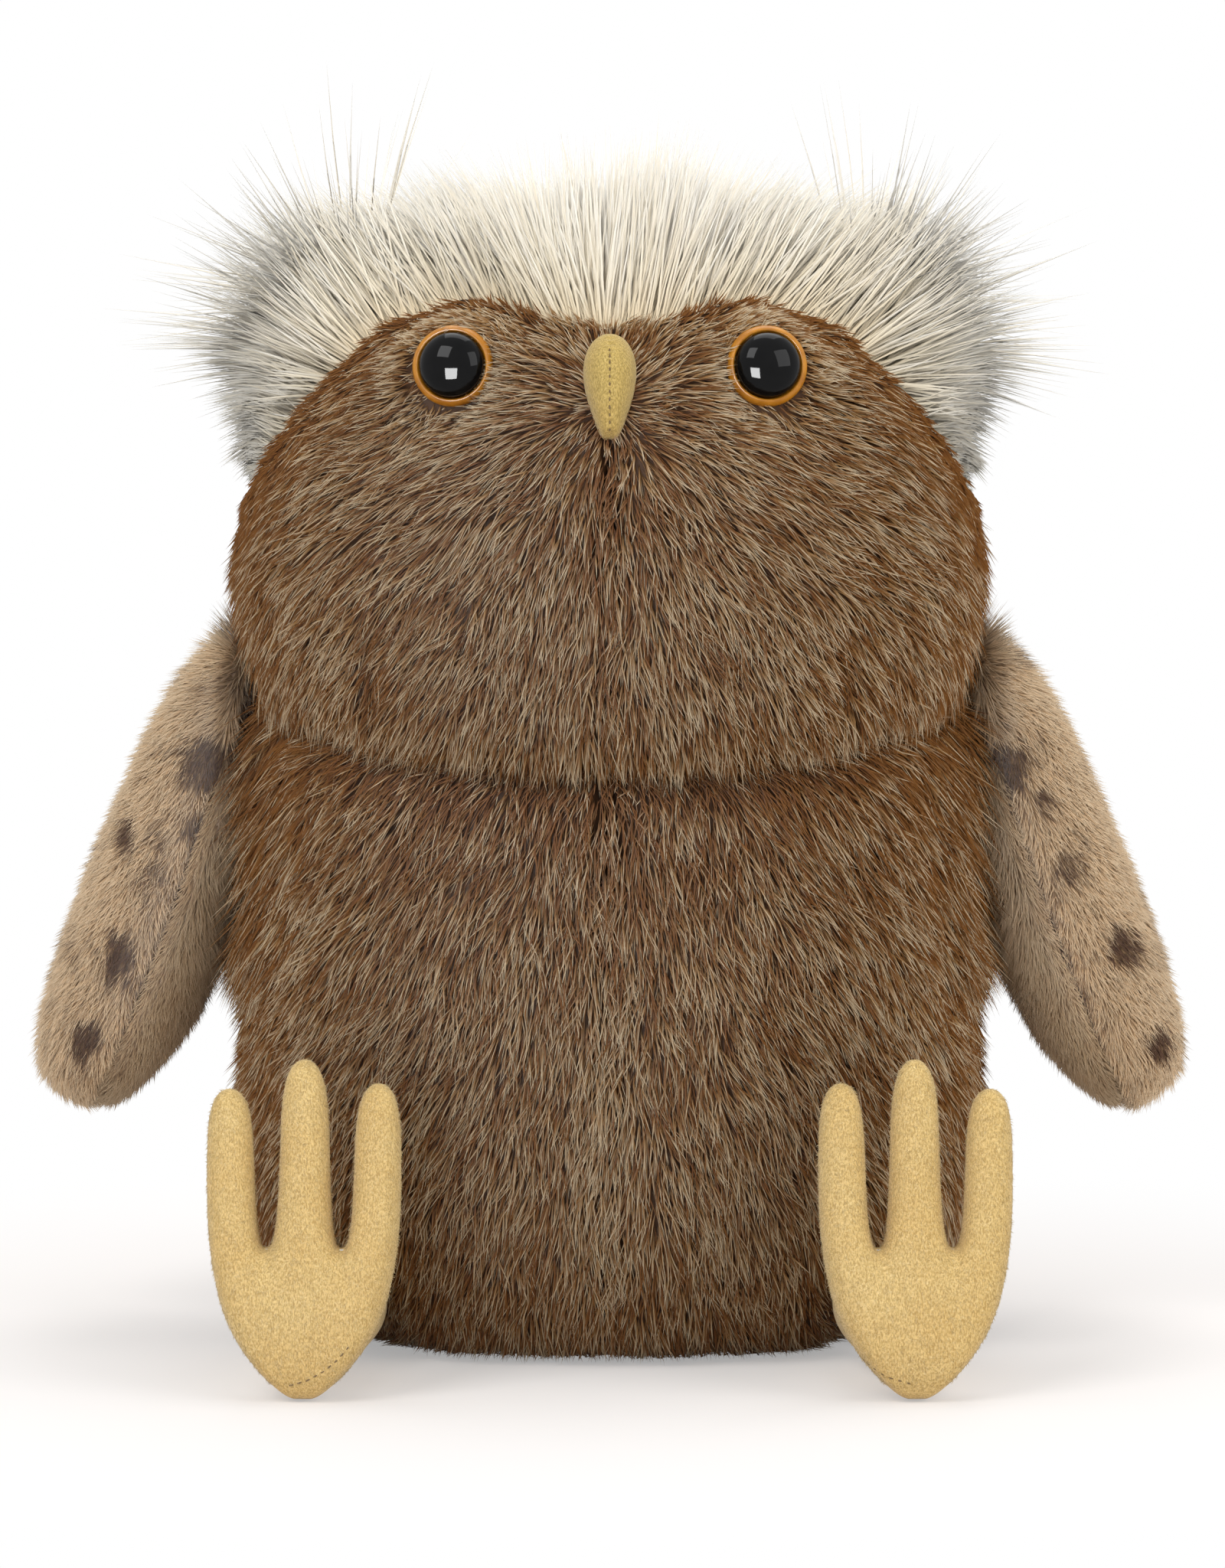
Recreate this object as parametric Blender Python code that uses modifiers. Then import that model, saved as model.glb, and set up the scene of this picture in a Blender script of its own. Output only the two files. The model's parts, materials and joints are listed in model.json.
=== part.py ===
"""A seated plush owl, as its sewn panels, fillings, eyes and limbs.

The owl faces -Y and stands on the floor at z = 0. Its own left side is at +X.
Soft forms are cages of rings, smoothed once. Plush covers are walls cut into panels at the seams.
"""

import math

import bmesh
import bpy
from mathutils import Matrix, Vector
from mathutils.bvhtree import BVHTree

# Trunk, from the floor to the neck seam
TRUNK_HALF_WIDTH = 0.0875
TRUNK_FRONT_REACH = 0.080
TRUNK_BACK_REACH = 0.075
NECK_HEIGHT = 0.152
NECK_TILT = math.radians(11.5)

# Head, from the neck seam to the crown
HEAD_HALF_WIDTH = 0.0875
HEAD_FRONT_REACH = 0.084
HEAD_BACK_REACH = 0.073
HEAD_HEIGHT = 0.104

# Plush and seams
PLUSH_WALL = 0.006
WING_WALL = 0.0035
SUEDE_WALL = 0.0012
SEAM_GAP = 0.0003
FILL_GAP = 0.0007
SIDE_SEAM_BEHIND = 0.012
CUTTER_OVERRUN = 0.010
MERGE_WITHIN = 0.00001
SHARP_ANGLE = math.radians(40)

# Brow seam, where the brown face meets the cream mane: heights above the neck, and its peaks' place out
BROW_SIDE_SHARE = 0.394
BROW_PEAK_SHARE = 0.861
BROW_DIP_SHARE = 0.798
BROW_PEAK_OUT_SHARE = 0.389
BROW_SIDE_HEIGHT = HEAD_HEIGHT * BROW_SIDE_SHARE
BROW_PEAK_HEIGHT = HEAD_HEIGHT * BROW_PEAK_SHARE
BROW_DIP_HEIGHT = HEAD_HEIGHT * BROW_DIP_SHARE
BROW_PEAK_OUT = HEAD_HALF_WIDTH * BROW_PEAK_OUT_SHARE
NAPE_SLOPE = math.radians(11)

# Mane of long pile
MANE_HALF_WIDTH = 0.102
MANE_FRONT_REACH = 0.063
MANE_BACK_REACH = 0.098
MANE_HEIGHT = 0.086
MANE_FOOT_SHARE = 0.42
MANE_FOOT_ABOVE_NECK = HEAD_HEIGHT * MANE_FOOT_SHARE
MANE_FOOT_SLOPE = math.radians(14)
MANE_TUFTS = 13
TUFT_DEPTH_SHARE = 0.13

# Eyes
EYE_RADIUS = 0.0091
EYE_OUT_SHARE = 0.399
EYE_HEIGHT_SHARE = 0.705
EYE_OUT = HEAD_HALF_WIDTH * EYE_OUT_SHARE
EYE_HEIGHT = HEAD_HEIGHT * EYE_HEIGHT_SHARE
EYE_TURN = math.radians(9)
EYE_LIFT = math.radians(9)
EYE_SINK = 0.0016
EYE_GRIP = 0.0020
IRIS_THICKNESS = 0.0028
PUPIL_RADIUS_SHARE = 0.77
PUPIL_DOME_SHARE = 0.60
PUPIL_RADIUS = EYE_RADIUS * PUPIL_RADIUS_SHARE
PUPIL_DOME = PUPIL_RADIUS * PUPIL_DOME_SHARE
PUPIL_SEAT = 0.0010
POST_RADIUS = 0.0021
POST_LENGTH = 0.0085
WASHER_RADIUS_SHARE = 0.79
WASHER_RADIUS = EYE_RADIUS * WASHER_RADIUS_SHARE
WASHER_THICKNESS = 0.0012
WASHER_HUB_RADIUS = 0.0036
WASHER_HUB_LENGTH = 0.0016
WASHER_BORE_CLEARANCE = 0.00015

# Beak
BEAK_TOP_SHARE = 0.775
BEAK_TOP_HEIGHT = HEAD_HEIGHT * BEAK_TOP_SHARE
BEAK_LENGTH = 0.0260
BEAK_HALF_WIDTH = 0.0061
BEAK_REACH = 0.0085
BEAK_SINK = 0.0010
BEAK_WALL = 0.0009

# Wings
WING_LENGTH = 0.110
WING_HALF_DEPTH = 0.027
WING_OUT_SWELL = 0.0236
WING_IN_SWELL = 0.0160
WING_SEAM_IN = 0.0090
WING_ROOT_RADIUS = 0.0080
WING_LEAN = math.radians(21)
WING_HINGE_ABOVE_NECK = 0.002
WING_BEHIND = 0.004
WING_CLEARANCE = 0.0004

# Legs
LEG_RADIUS = 0.0115
LEG_FLOOR_GAP = 0.0020
LEG_REACH = 0.046
LEG_SPLAY = math.radians(8)
HIP_OUT_SHARE = 0.694
HIP_OUT = TRUNK_HALF_WIDTH * HIP_OUT_SHARE
HIP_SINK = 0.0035
HIP_CLEARANCE = 0.0004

# Feet
FOOT_WIDTH = 0.0436
FOOT_HEIGHT = 0.0755
FOOT_THICKNESS = 0.0160
FOOT_LEAN = math.radians(6)
FOOT_SPLAY = math.radians(3)
FOOT_FLAT = 0.0005

# Base and the bean bag on it
BASE_WIDTH_SHARE = 0.636
BASE_DEPTH_SHARE = 0.594
BASE_HALF_WIDTH = TRUNK_HALF_WIDTH * BASE_WIDTH_SHARE
BASE_HALF_DEPTH = (TRUNK_FRONT_REACH + TRUNK_BACK_REACH) / 2 * BASE_DEPTH_SHARE
BASE_THICKNESS = 0.005
BAG_SPREAD_SHARE = 0.91
BAG_HALF_WIDTH = BASE_HALF_WIDTH * BAG_SPREAD_SHARE
BAG_HALF_DEPTH = BASE_HALF_DEPTH * BAG_SPREAD_SHARE
BAG_HEIGHT = 0.030
FLOOR_SINK = 0.004

# Counts
TRUNK_COLUMNS = 12
WING_COLUMNS = 8
LEG_COLUMNS = 8
BEAK_COLUMNS = 8
TURN_STEPS = 16
BALL_RINGS = 8
COLUMNS_PER_TUFT = 4

# How square each form's sections are, where 2 is an ellipse
TRUNK_SQUARE_SHARE = 2.25
HEAD_SQUARE_SHARE = 2.20
MANE_SQUARE_SHARE = 2.15
WING_SQUARE_SHARE = 1.95

# Rings of the trunk: share of the neck's height, of the half width, of the front and of the back reach
TRUNK_RING_SHARES = (
    (0.000, 0.715, 0.680, 0.690),
    (0.080, 0.905, 0.865, 0.875),
    (0.260, 1.010, 0.985, 0.990),
    (0.520, 0.977, 1.015, 1.010),
    (0.780, 0.940, 0.985, 0.955),
    (0.950, 0.925, 0.955, 0.915),
    (1.050, 0.850, 0.865, 0.830),
)
TRUNK_TOP_SHARE = 1.16
# Where the rings start to lean with the neck seam, and where they lean fully
TRUNK_LEAN_SHARES = (0.45, 1.0)

# Rings of the head: share of its height above the neck, then as on the trunk
HEAD_RING_SHARES = (
    (-0.080, 0.840, 0.830, 0.790),
    (0.030, 0.955, 0.970, 0.910),
    (0.220, 1.010, 1.020, 0.990),
    (0.470, 1.000, 0.995, 1.010),
    (0.710, 0.870, 0.875, 0.915),
    (0.870, 0.665, 0.700, 0.745),
    (0.965, 0.390, 0.460, 0.490),
)
HEAD_BOTTOM_SHARE = -0.20
HEAD_TOP_SHARE = 1.0
HEAD_LEAN_SHARES = (0.05, 0.70)

# Brow seam from its side to its peak: share of the way in and of the rise. Then from the peak to the dip:
# share of the peak's place out and of the rise above the dip
BROW_RISE_SHARES = ((0.15, 0.28), (0.37, 0.57), (0.66, 0.87))
BROW_FALL_SHARES = ((0.70, 0.80), (0.40, 0.25))

# Rings of the mane: share of its height, of its half width, of its front and of its back reach
MANE_RING_SHARES = (
    (0.03, 0.780, 0.880, 0.780),
    (0.17, 0.940, 0.965, 0.950),
    (0.42, 1.000, 1.000, 1.000),
    (0.66, 0.910, 0.940, 0.925),
    (0.83, 0.710, 0.760, 0.740),
    (0.93, 0.475, 0.545, 0.530),
    (0.985, 0.250, 0.310, 0.290),
)
MANE_LEAN_SHARES = (0.0, 0.8)
# Where the tufts begin and where they are deepest, and how far they turn on the way up
TUFT_SPAN_SHARES = (0.0, 0.6)
TUFT_TURN_SHARE = 0.05

# Rim of the iris: share of the eye's radius and of the iris's thickness
IRIS_RIM_SHARES = ((0.90, 0.96), (1.00, 0.55), (1.00, 0.10), (0.95, 0.00))
# Tip of its post: share of the post's radius and of its length
POST_TIP_SHARES = ((1.0, 0.92), (0.7, 1.0), (0.0, 1.0))
# Angles up the pupil's dome
DOME_ANGLES = (90, 68, 46, 24, 0)
# The washer's hub: share of its radius where it ends, and of the washer's thickness where it starts
HUB_TIP_SHARE = 0.9
HUB_FOOT_SHARE = 0.3

# Rings of a wing below its hinge: share of its length, of the way in to its seam, of the outer and inner
# swell and of the half depth
WING_RING_SHARES = (
    (0.13, 0.60, 0.76, 0.50, 0.63),
    (0.32, 1.00, 0.96, 0.72, 0.85),
    (0.54, 1.00, 1.01, 1.00, 1.00),
    (0.74, 1.00, 0.98, 0.96, 0.98),
    (0.90, 0.92, 0.86, 0.60, 0.80),
    (0.975, 0.65, 0.50, 0.38, 0.45),
)
WING_ROOT_DEPTH_SHARE = 0.50
# Places across a ring where the wing's lie on the body is tried
WING_CONTACT_SHARES = (-0.4, 0.0, 0.4)
# Rings of a limb's round root, as shares of its radius along the limb
ROOT_CLIMB_SHARES = (-0.72, 0.0)
# Rings of a leg past its root: share of its length and of its radius
LEG_RING_SHARES = ((0.55, 0.95), (1.00, 0.84))
LEG_END_SHARE = 0.2

# Rings of the beak from its top: share of its length, of its half width and of its reach
BEAK_RING_SHARES = (
    (0.07, 0.66, 0.60),
    (0.27, 1.02, 0.98),
    (0.52, 0.93, 1.05),
    (0.76, 0.62, 0.86),
    (0.94, 0.36, 0.50),
)

# Rows of a foot's palm: share of its height and of its half width
PALM_ROW_SHARES = ((-0.02, 0.22), (0.18, 0.775), (0.45, 0.955))
# Edges of the three toes across the palm, as shares of the half width
TOE_EDGE_SHARES = (-1.0, -0.405, -0.345, 0.335, 0.395, 1.0)
# Rows of each toe: share of the foot's height, of the half width for its middle and for its half width
TOE_ROW_SHARES = (
    ((0.67, -0.69, 0.275), (0.950, -0.70, 0.255)),
    ((0.70, -0.01, 0.285), (1.022, 0.00, 0.270)),
    ((0.67, 0.69, 0.275), (0.930, 0.71, 0.255)),
)
# Half thickness down the foot, as shares: palm rows, then toe rows
PALM_THICKNESS_SHARES = (0.62, 1.06, 1.00)
TOE_THICKNESS_SHARES = (0.80, 0.73)
# How far the foot's soft cage stands outside the smoothed foot
FOOT_CAGE_SHARE = 1.09

# Rings of the bean bag: share of its height and of its half sizes
BAG_RING_SHARES = ((0.0, 0.80), (0.35, 1.0), (0.70, 0.90), (0.95, 0.55))
# Profiles of the base panel and of the hole it lies in: share of the half size and of the thickness
BASE_PROFILE_SHARES = ((0, 1), (1, 1), (1, 0), (0, 0))
BASE_HOLE_SHARES = ((0, 2), (1, 2), (1, -1), (0, -1))

OWL = None
CUTTERS = None


def start_scene():
    """Empties the scene and makes the two collections."""
    global OWL, CUTTERS
    for old in list(bpy.data.objects):
        bpy.data.objects.remove(old, do_unlink=True)
    OWL = bpy.data.collections.new("plush_owl")
    CUTTERS = bpy.data.collections.new("cutters")
    bpy.context.scene.collection.children.link(OWL)
    bpy.context.scene.collection.children.link(CUTTERS)


def plain_material(name, colour, roughness, metallic=0.0):
    """A Principled material of one colour."""
    made = bpy.data.materials.new(name)
    made.use_nodes = True
    shader = made.node_tree.nodes["Principled BSDF"]
    shader.inputs["Base Color"].default_value = (*colour, 1.0)
    shader.inputs["Roughness"].default_value = roughness
    shader.inputs["Metallic"].default_value = metallic
    made.diffuse_color = (*colour, 1.0)
    return made


def helper(obj):
    """Marks an object as a guide or cutter, which is no part of the owl."""
    for holder in list(obj.users_collection):
        holder.objects.unlink(obj)
    CUTTERS.objects.link(obj)
    obj.hide_render = True
    obj.display_type = "WIRE"
    return obj


def from_bmesh(name, bm):
    """A helper object with this bmesh's faces, turned outwards."""
    bmesh.ops.recalc_face_normals(bm, faces=bm.faces)
    mesh = bpy.data.meshes.new(name)
    bm.to_mesh(mesh)
    bm.free()
    return helper_object(name, mesh)


def helper_object(name, mesh):
    obj = bpy.data.objects.new(name, mesh)
    CUTTERS.objects.link(obj)
    return helper(obj)


def settled(obj):
    """Gives obj the mesh that its modifiers make, and removes them."""
    bpy.context.view_layer.update()
    graph = bpy.context.evaluated_depsgraph_get()
    mesh = bpy.data.meshes.new_from_object(obj.evaluated_get(graph))
    obj.modifiers.clear()
    obj.data = mesh
    return obj


def copied(obj, name):
    """Another helper with its own copy of obj's mesh, in the same place."""
    twin = helper_object(name, obj.data.copy())
    twin.matrix_world = obj.matrix_world.copy()
    return twin


def mirrored(obj, name):
    """The same solid on the other side of the owl."""
    mesh = obj.data.copy()
    mesh.transform(Matrix.Scale(-1.0, 4, Vector((1, 0, 0))) @ obj.matrix_world)
    mesh.flip_normals()
    return helper_object(name, mesh)


def cut(obj, cutter, operation="DIFFERENCE"):
    """Cuts obj by another solid."""
    boolean = obj.modifiers.new(operation.lower(), "BOOLEAN")
    boolean.operation = operation
    boolean.object = cutter
    boolean.solver = "EXACT"
    return settled(obj)


def part(obj, name, finish, hinge=None):
    """Makes a finished solid a named part of the owl, with its origin on its joint."""
    obj.name = name
    obj.data.name = name
    for holder in list(obj.users_collection):
        holder.objects.unlink(obj)
    OWL.objects.link(obj)
    obj.hide_render = False
    obj.display_type = "TEXTURED"
    obj.data.materials.clear()
    obj.data.materials.append(finish)
    obj.data.transform(obj.matrix_world)
    obj.matrix_world = Matrix.Identity(4)
    obj.data.shade_smooth()
    obj.data.set_sharp_from_angle(angle=SHARP_ANGLE)
    if hinge is not None:
        obj.data.transform(Matrix.Translation(-hinge.location))
        obj.parent = hinge
    return obj


def joint_empty(name, place):
    """An empty on a joint's axis, which the moving parts are parented to."""
    empty = bpy.data.objects.new(name, None)
    empty.location = place
    OWL.objects.link(empty)
    return empty


# Forms


def signed_power(value, power):
    return math.copysign(abs(value) ** power, value)


def ring_points(centre, across, along, reaches, columns, square=2.0, grow=1.0):
    """Points round one section. reaches are its half sizes to +across, -across, +along and -along."""
    points = []
    for i in range(columns):
        turn = 2 * math.pi * i / columns
        u, v = signed_power(math.cos(turn), 2 / square), signed_power(math.sin(turn), 2 / square)
        reach_u = reaches[0] if u > 0 else reaches[1]
        reach_v = reaches[2] if v > 0 else reaches[3]
        points.append(centre + across * (u * reach_u * grow) + along * (v * reach_v * grow))
    return points


def skin_rings(name, rings, start, end):
    """A closed helper mesh through rings of points, with a pole at each end."""
    bm = bmesh.new()
    loops = [[bm.verts.new(point) for point in ring] for ring in rings]
    first, last = bm.verts.new(start), bm.verts.new(end)
    columns = len(loops[0])
    for i in range(columns):
        j = (i + 1) % columns
        bm.faces.new((first, loops[0][i], loops[0][j]))
        bm.faces.new((last, loops[-1][i], loops[-1][j]))
        for low, high in zip(loops, loops[1:]):
            bm.faces.new((low[i], low[j], high[j], high[i]))
    return from_bmesh(name, bm)


def cage_growth(columns):
    """How far a cage's ring stands outside its smoothed surface."""
    return 3 / (2 + math.cos(2 * math.pi / columns))


def smoothed(obj):
    """One round of subdivision, applied."""
    surface = obj.modifiers.new("smooth", "SUBSURF")
    surface.levels = surface.render_levels = 1
    return settled(obj)


def soft_pair(cage):
    """A cage's smooth outside, and the plain core whose corners lie on it."""
    outside = smoothed(copied(cage, cage.name + "_outside"))
    for corner, place in zip(cage.data.vertices, outside.data.vertices):
        corner.co = place.co
    return outside, cage


def soft_form(name, sections, start, end, columns, square=2.0):
    """The outside and core of a soft form through its sections."""
    grow = cage_growth(columns)
    rings = []
    for centre, across, along, reaches in sections:
        rings.append(ring_points(centre, across, along, reaches, columns, square, grow))
    return soft_pair(skin_rings(name, rings, start, end))


def offset(obj, name, distance):
    """A copy whose surface stands this far outside obj's, or inside it if negative."""
    twin = copied(obj, name)
    bm = bmesh.new()
    bm.from_mesh(twin.data)
    bm.normal_update()
    moves = [(vertex, vertex.normal.copy()) for vertex in bm.verts]
    for vertex, normal in moves:
        vertex.co += normal * distance
    bm.to_mesh(twin.data)
    bm.free()
    return twin


def walled(form, name, thickness):
    """The wall between a form's outside and its core, at least this thick."""
    outside, core = form
    return cut(copied(outside, name), offset(core, name + "_hollow", -thickness))


def block(name, low, high):
    """A box cutter between two corners."""
    bm = bmesh.new()
    bmesh.ops.create_cube(bm, size=1.0)
    size = Vector(high) - Vector(low)
    bmesh.ops.scale(bm, vec=size, verts=bm.verts)
    bmesh.ops.translate(bm, vec=(Vector(low) + Vector(high)) / 2, verts=bm.verts)
    return from_bmesh(name, bm)


def turned(name, profile):
    """A solid turned about z from a profile of (radius, height) that runs down its outer side."""
    mesh = bpy.data.meshes.new(name)
    points = [(radius, 0, height) for radius, height in profile]
    mesh.from_pydata(points, [(i, i + 1) for i in range(len(points) - 1)], [])
    obj = helper_object(name, mesh)
    screw = obj.modifiers.new("turn", "SCREW")
    screw.steps = screw.render_steps = TURN_STEPS
    screw.use_merge_vertices = True
    screw.merge_threshold = MERGE_WITHIN
    screw.use_smooth_shade = False
    return settled(obj)


def along_axis(obj, place, direction):
    """Turns obj's own z to a direction and puts its origin at a place."""
    obj.matrix_world = Matrix.Translation(place) @ direction.to_track_quat("Z", "Y").to_matrix().to_4x4()
    obj.data.transform(obj.matrix_world)
    obj.matrix_world = Matrix.Identity(4)
    return obj


def span_of(obj):
    """Lowest and highest corner of a settled helper."""
    corners = [obj.matrix_world @ vertex.co for vertex in obj.data.vertices]
    low = Vector([min(corner[k] for corner in corners) for k in range(3)])
    high = Vector([max(corner[k] for corner in corners) for k in range(3)])
    return low, high


def surface_point(obj, start, direction):
    """Where a ray first meets a settled helper at the world's origin."""
    tree = BVHTree.FromPolygons(
        [vertex.co for vertex in obj.data.vertices],
        [tuple(face.vertices) for face in obj.data.polygons],
    )
    return tree.ray_cast(Vector(start), Vector(direction))[0]


# Trunk and head


def smooth_share(value, start, end):
    """From 0 at start to 1 at end, evenly eased."""
    t = min(1.0, max(0.0, (value - start) / (end - start)))
    return t * t * (3 - 2 * t)


def trunk_form():
    """The trunk, closed above the neck and below the floor."""
    sections = []
    for height, width, front, back in TRUNK_RING_SHARES:
        lean = math.tan(NECK_TILT) * smooth_share(height, *TRUNK_LEAN_SHARES)
        reaches = (
            TRUNK_HALF_WIDTH * width,
            TRUNK_HALF_WIDTH * width,
            TRUNK_BACK_REACH * back,
            TRUNK_FRONT_REACH * front,
        )
        centre = Vector((0, 0, NECK_HEIGHT * height))
        sections.append((centre, Vector((1, 0, 0)), Vector((0, 1, lean)), reaches))
    bottom = Vector((0, 0, -FLOOR_SINK))
    top = Vector((0, 0, NECK_HEIGHT * TRUNK_TOP_SHARE))
    return soft_form("trunk_form", sections, bottom, top, TRUNK_COLUMNS, TRUNK_SQUARE_SHARE)


def head_form():
    """The head, closed below the neck."""
    sections = []
    for height, width, front, back in HEAD_RING_SHARES:
        lean = math.tan(NECK_TILT) * (1 - smooth_share(height, *HEAD_LEAN_SHARES))
        reaches = (
            HEAD_HALF_WIDTH * width,
            HEAD_HALF_WIDTH * width,
            HEAD_BACK_REACH * back,
            HEAD_FRONT_REACH * front,
        )
        centre = Vector((0, 0, NECK_HEIGHT + HEAD_HEIGHT * height))
        sections.append((centre, Vector((1, 0, 0)), Vector((0, 1, lean)), reaches))
    bottom = Vector((0, 0, NECK_HEIGHT + HEAD_HEIGHT * HEAD_BOTTOM_SHARE))
    top = Vector((0, 0, NECK_HEIGHT + HEAD_HEIGHT * HEAD_TOP_SHARE))
    return soft_form("head_form", sections, bottom, top, TRUNK_COLUMNS, HEAD_SQUARE_SHARE)


def room():
    """Half the side of a cutter that passes everything."""
    return NECK_HEIGHT + HEAD_HEIGHT + MANE_HEIGHT + MANE_BACK_REACH + TRUNK_HALF_WIDTH


def neck_block(name, above):
    """All that lies above or below the tilted neck seam, half a seam gap clear of it."""
    reach, gap = room(), SEAM_GAP / 2
    low, high = (gap, reach) if above else (-reach, -gap)
    half_space = block(name, (-reach, -reach, low), (reach, reach, high))
    half_space.data.transform(Matrix.Translation((0, 0, NECK_HEIGHT)) @ Matrix.Rotation(NECK_TILT, 4, "X"))
    return half_space


def brow_outline(raised):
    """The brow seam seen from the front, from the left side to the right, raised by a clearance."""
    side = NECK_HEIGHT + BROW_SIDE_HEIGHT + raised
    peak = NECK_HEIGHT + BROW_PEAK_HEIGHT + raised
    dip = NECK_HEIGHT + BROW_DIP_HEIGHT + raised
    outer = HEAD_HALF_WIDTH
    half = [(room(), side), (outer, side)]
    for inward, rise in BROW_RISE_SHARES:
        half.append((outer - (outer - BROW_PEAK_OUT) * inward, side + (peak - side) * rise))
    half.append((BROW_PEAK_OUT, peak))
    for outward, rise in BROW_FALL_SHARES:
        half.append((BROW_PEAK_OUT * outward, dip + (peak - dip) * rise))
    half.append((0, dip))
    return half + [(-x, z) for x, z in reversed(half[:-1])]


def below_brow(name, raised, behind):
    """All in front of the side seams and below the brow seam."""
    bm = bmesh.new()
    outline = brow_outline(raised)
    corners = [(-room(), -room()), (room(), -room())]
    face = bm.faces.new([bm.verts.new((x, -room(), z)) for x, z in corners + outline])
    made = bmesh.ops.extrude_face_region(bm, geom=[face])
    moved = [item for item in made["geom"] if isinstance(item, bmesh.types.BMVert)]
    bmesh.ops.translate(bm, vec=(0, room() + behind, 0), verts=moved)
    return from_bmesh(name, bm)


def below_nape(name, raised, ahead):
    """All from a little ahead of the side seams backwards, and below the seam round the back of the head."""
    reach = room()
    side = NECK_HEIGHT + BROW_SIDE_HEIGHT + raised
    half_space = block(name, (-reach, -ahead, -reach), (reach, reach, 0))
    shear = Matrix.Identity(4)
    shear[2][1] = -math.tan(NAPE_SLOPE)
    half_space.data.transform(Matrix.Translation((0, SIDE_SEAM_BEHIND, side)) @ shear)
    return half_space


def mane_envelope():
    """The outer shape of the long pile, gathered in tufts."""
    columns = MANE_TUFTS * COLUMNS_PER_TUFT
    foot = NECK_HEIGHT + MANE_FOOT_ABOVE_NECK
    rings = []
    for height, width, front, behind in MANE_RING_SHARES:
        side = MANE_HALF_WIDTH * width
        reaches = (side, side, MANE_BACK_REACH * behind, MANE_FRONT_REACH * front)
        centre = Vector((0, 0, foot + MANE_HEIGHT * height))
        slope = math.tan(MANE_FOOT_SLOPE) * (1 - smooth_share(height, *MANE_LEAN_SHARES))
        back = Vector((0, 1, -slope))
        ring = ring_points(centre, Vector((1, 0, 0)), back, reaches, columns, MANE_SQUARE_SHARE)
        depth = TUFT_DEPTH_SHARE * smooth_share(height, *TUFT_SPAN_SHARES)
        tufted = []
        for i, point in enumerate(ring):
            wave = abs(math.cos(math.pi * MANE_TUFTS * (i / columns + height * TUFT_TURN_SHARE)))
            tufted.append(centre + (point - centre) * (1 - depth * wave))
        rings.append(tufted)
    return skin_rings("mane_envelope", rings, Vector((0, 0, foot)), Vector((0, 0, foot + MANE_HEIGHT)))


# Eyes


def eye_frame(head):
    """Where the left eye sits on the plush, and the way it faces."""
    place = surface_point(head, (EYE_OUT, -room(), NECK_HEIGHT + EYE_HEIGHT), (0, 1, 0))
    ahead = Vector((
        math.sin(EYE_TURN) * math.cos(EYE_LIFT),
        -math.cos(EYE_TURN) * math.cos(EYE_LIFT),
        math.sin(EYE_LIFT),
    ))
    return place - ahead * EYE_SINK, ahead


def iris_solid():
    """The coloured moulding: a rimmed disc with the post that passes through the plush."""
    seat = IRIS_THICKNESS - PUPIL_SEAT
    hole = PUPIL_RADIUS + SEAM_GAP
    rim = [(EYE_RADIUS * out, IRIS_THICKNESS * height) for out, height in IRIS_RIM_SHARES]
    tip = [(POST_RADIUS * out, -POST_LENGTH * depth) for out, depth in POST_TIP_SHARES]
    return turned("iris", [(0, seat), (hole, seat), (hole, IRIS_THICKNESS)] + rim + [(POST_RADIUS, 0)] + tip)


def pupil_solid():
    """The glossy dome set in the iris."""
    foot = IRIS_THICKNESS - PUPIL_SEAT + SEAM_GAP
    arc = [math.radians(angle) for angle in DOME_ANGLES]
    profile = [(PUPIL_RADIUS * math.cos(a), IRIS_THICKNESS + PUPIL_DOME * math.sin(a)) for a in arc]
    profile[0] = (0, IRIS_THICKNESS + PUPIL_DOME)
    return turned("pupil", profile + [(PUPIL_RADIUS, foot), (0, foot)])


def washer_solid():
    """The lock washer that grips the post behind the plush."""
    bore, front = POST_RADIUS + WASHER_BORE_CLEARANCE, -EYE_GRIP
    back = front - WASHER_THICKNESS
    washer = turned("washer", [
        (0, front),
        (WASHER_RADIUS, front),
        (WASHER_RADIUS, back),
        (WASHER_HUB_RADIUS, back - WASHER_THICKNESS * HUB_FOOT_SHARE),
        (WASHER_HUB_RADIUS * HUB_TIP_SHARE, back - WASHER_HUB_LENGTH),
        (0, back - WASHER_HUB_LENGTH),
    ])
    hole = turned("washer_bore", [
        (0, front + CUTTER_OVERRUN),
        (bore, front + CUTTER_OVERRUN),
        (bore, back - WASHER_HUB_LENGTH - CUTTER_OVERRUN),
        (0, back - WASHER_HUB_LENGTH - CUTTER_OVERRUN),
    ])
    return cut(washer, hole)


def eye_room():
    """What the eye takes out of the plush and the filling: its seat, its post and its washer, each clear."""
    back = EYE_GRIP + WASHER_THICKNESS + WASHER_HUB_LENGTH
    return turned("eye_room", [
        (0, CUTTER_OVERRUN),
        (EYE_RADIUS + SEAM_GAP, CUTTER_OVERRUN),
        (EYE_RADIUS + SEAM_GAP, -SEAM_GAP),
        (POST_RADIUS + SEAM_GAP, -SEAM_GAP),
        (POST_RADIUS + SEAM_GAP, -EYE_GRIP + SEAM_GAP),
        (WASHER_RADIUS + SEAM_GAP, -EYE_GRIP + SEAM_GAP),
        (WASHER_RADIUS + SEAM_GAP, -max(back, POST_LENGTH) - SEAM_GAP),
        (0, -max(back, POST_LENGTH) - SEAM_GAP),
    ])


# Beak


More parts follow.
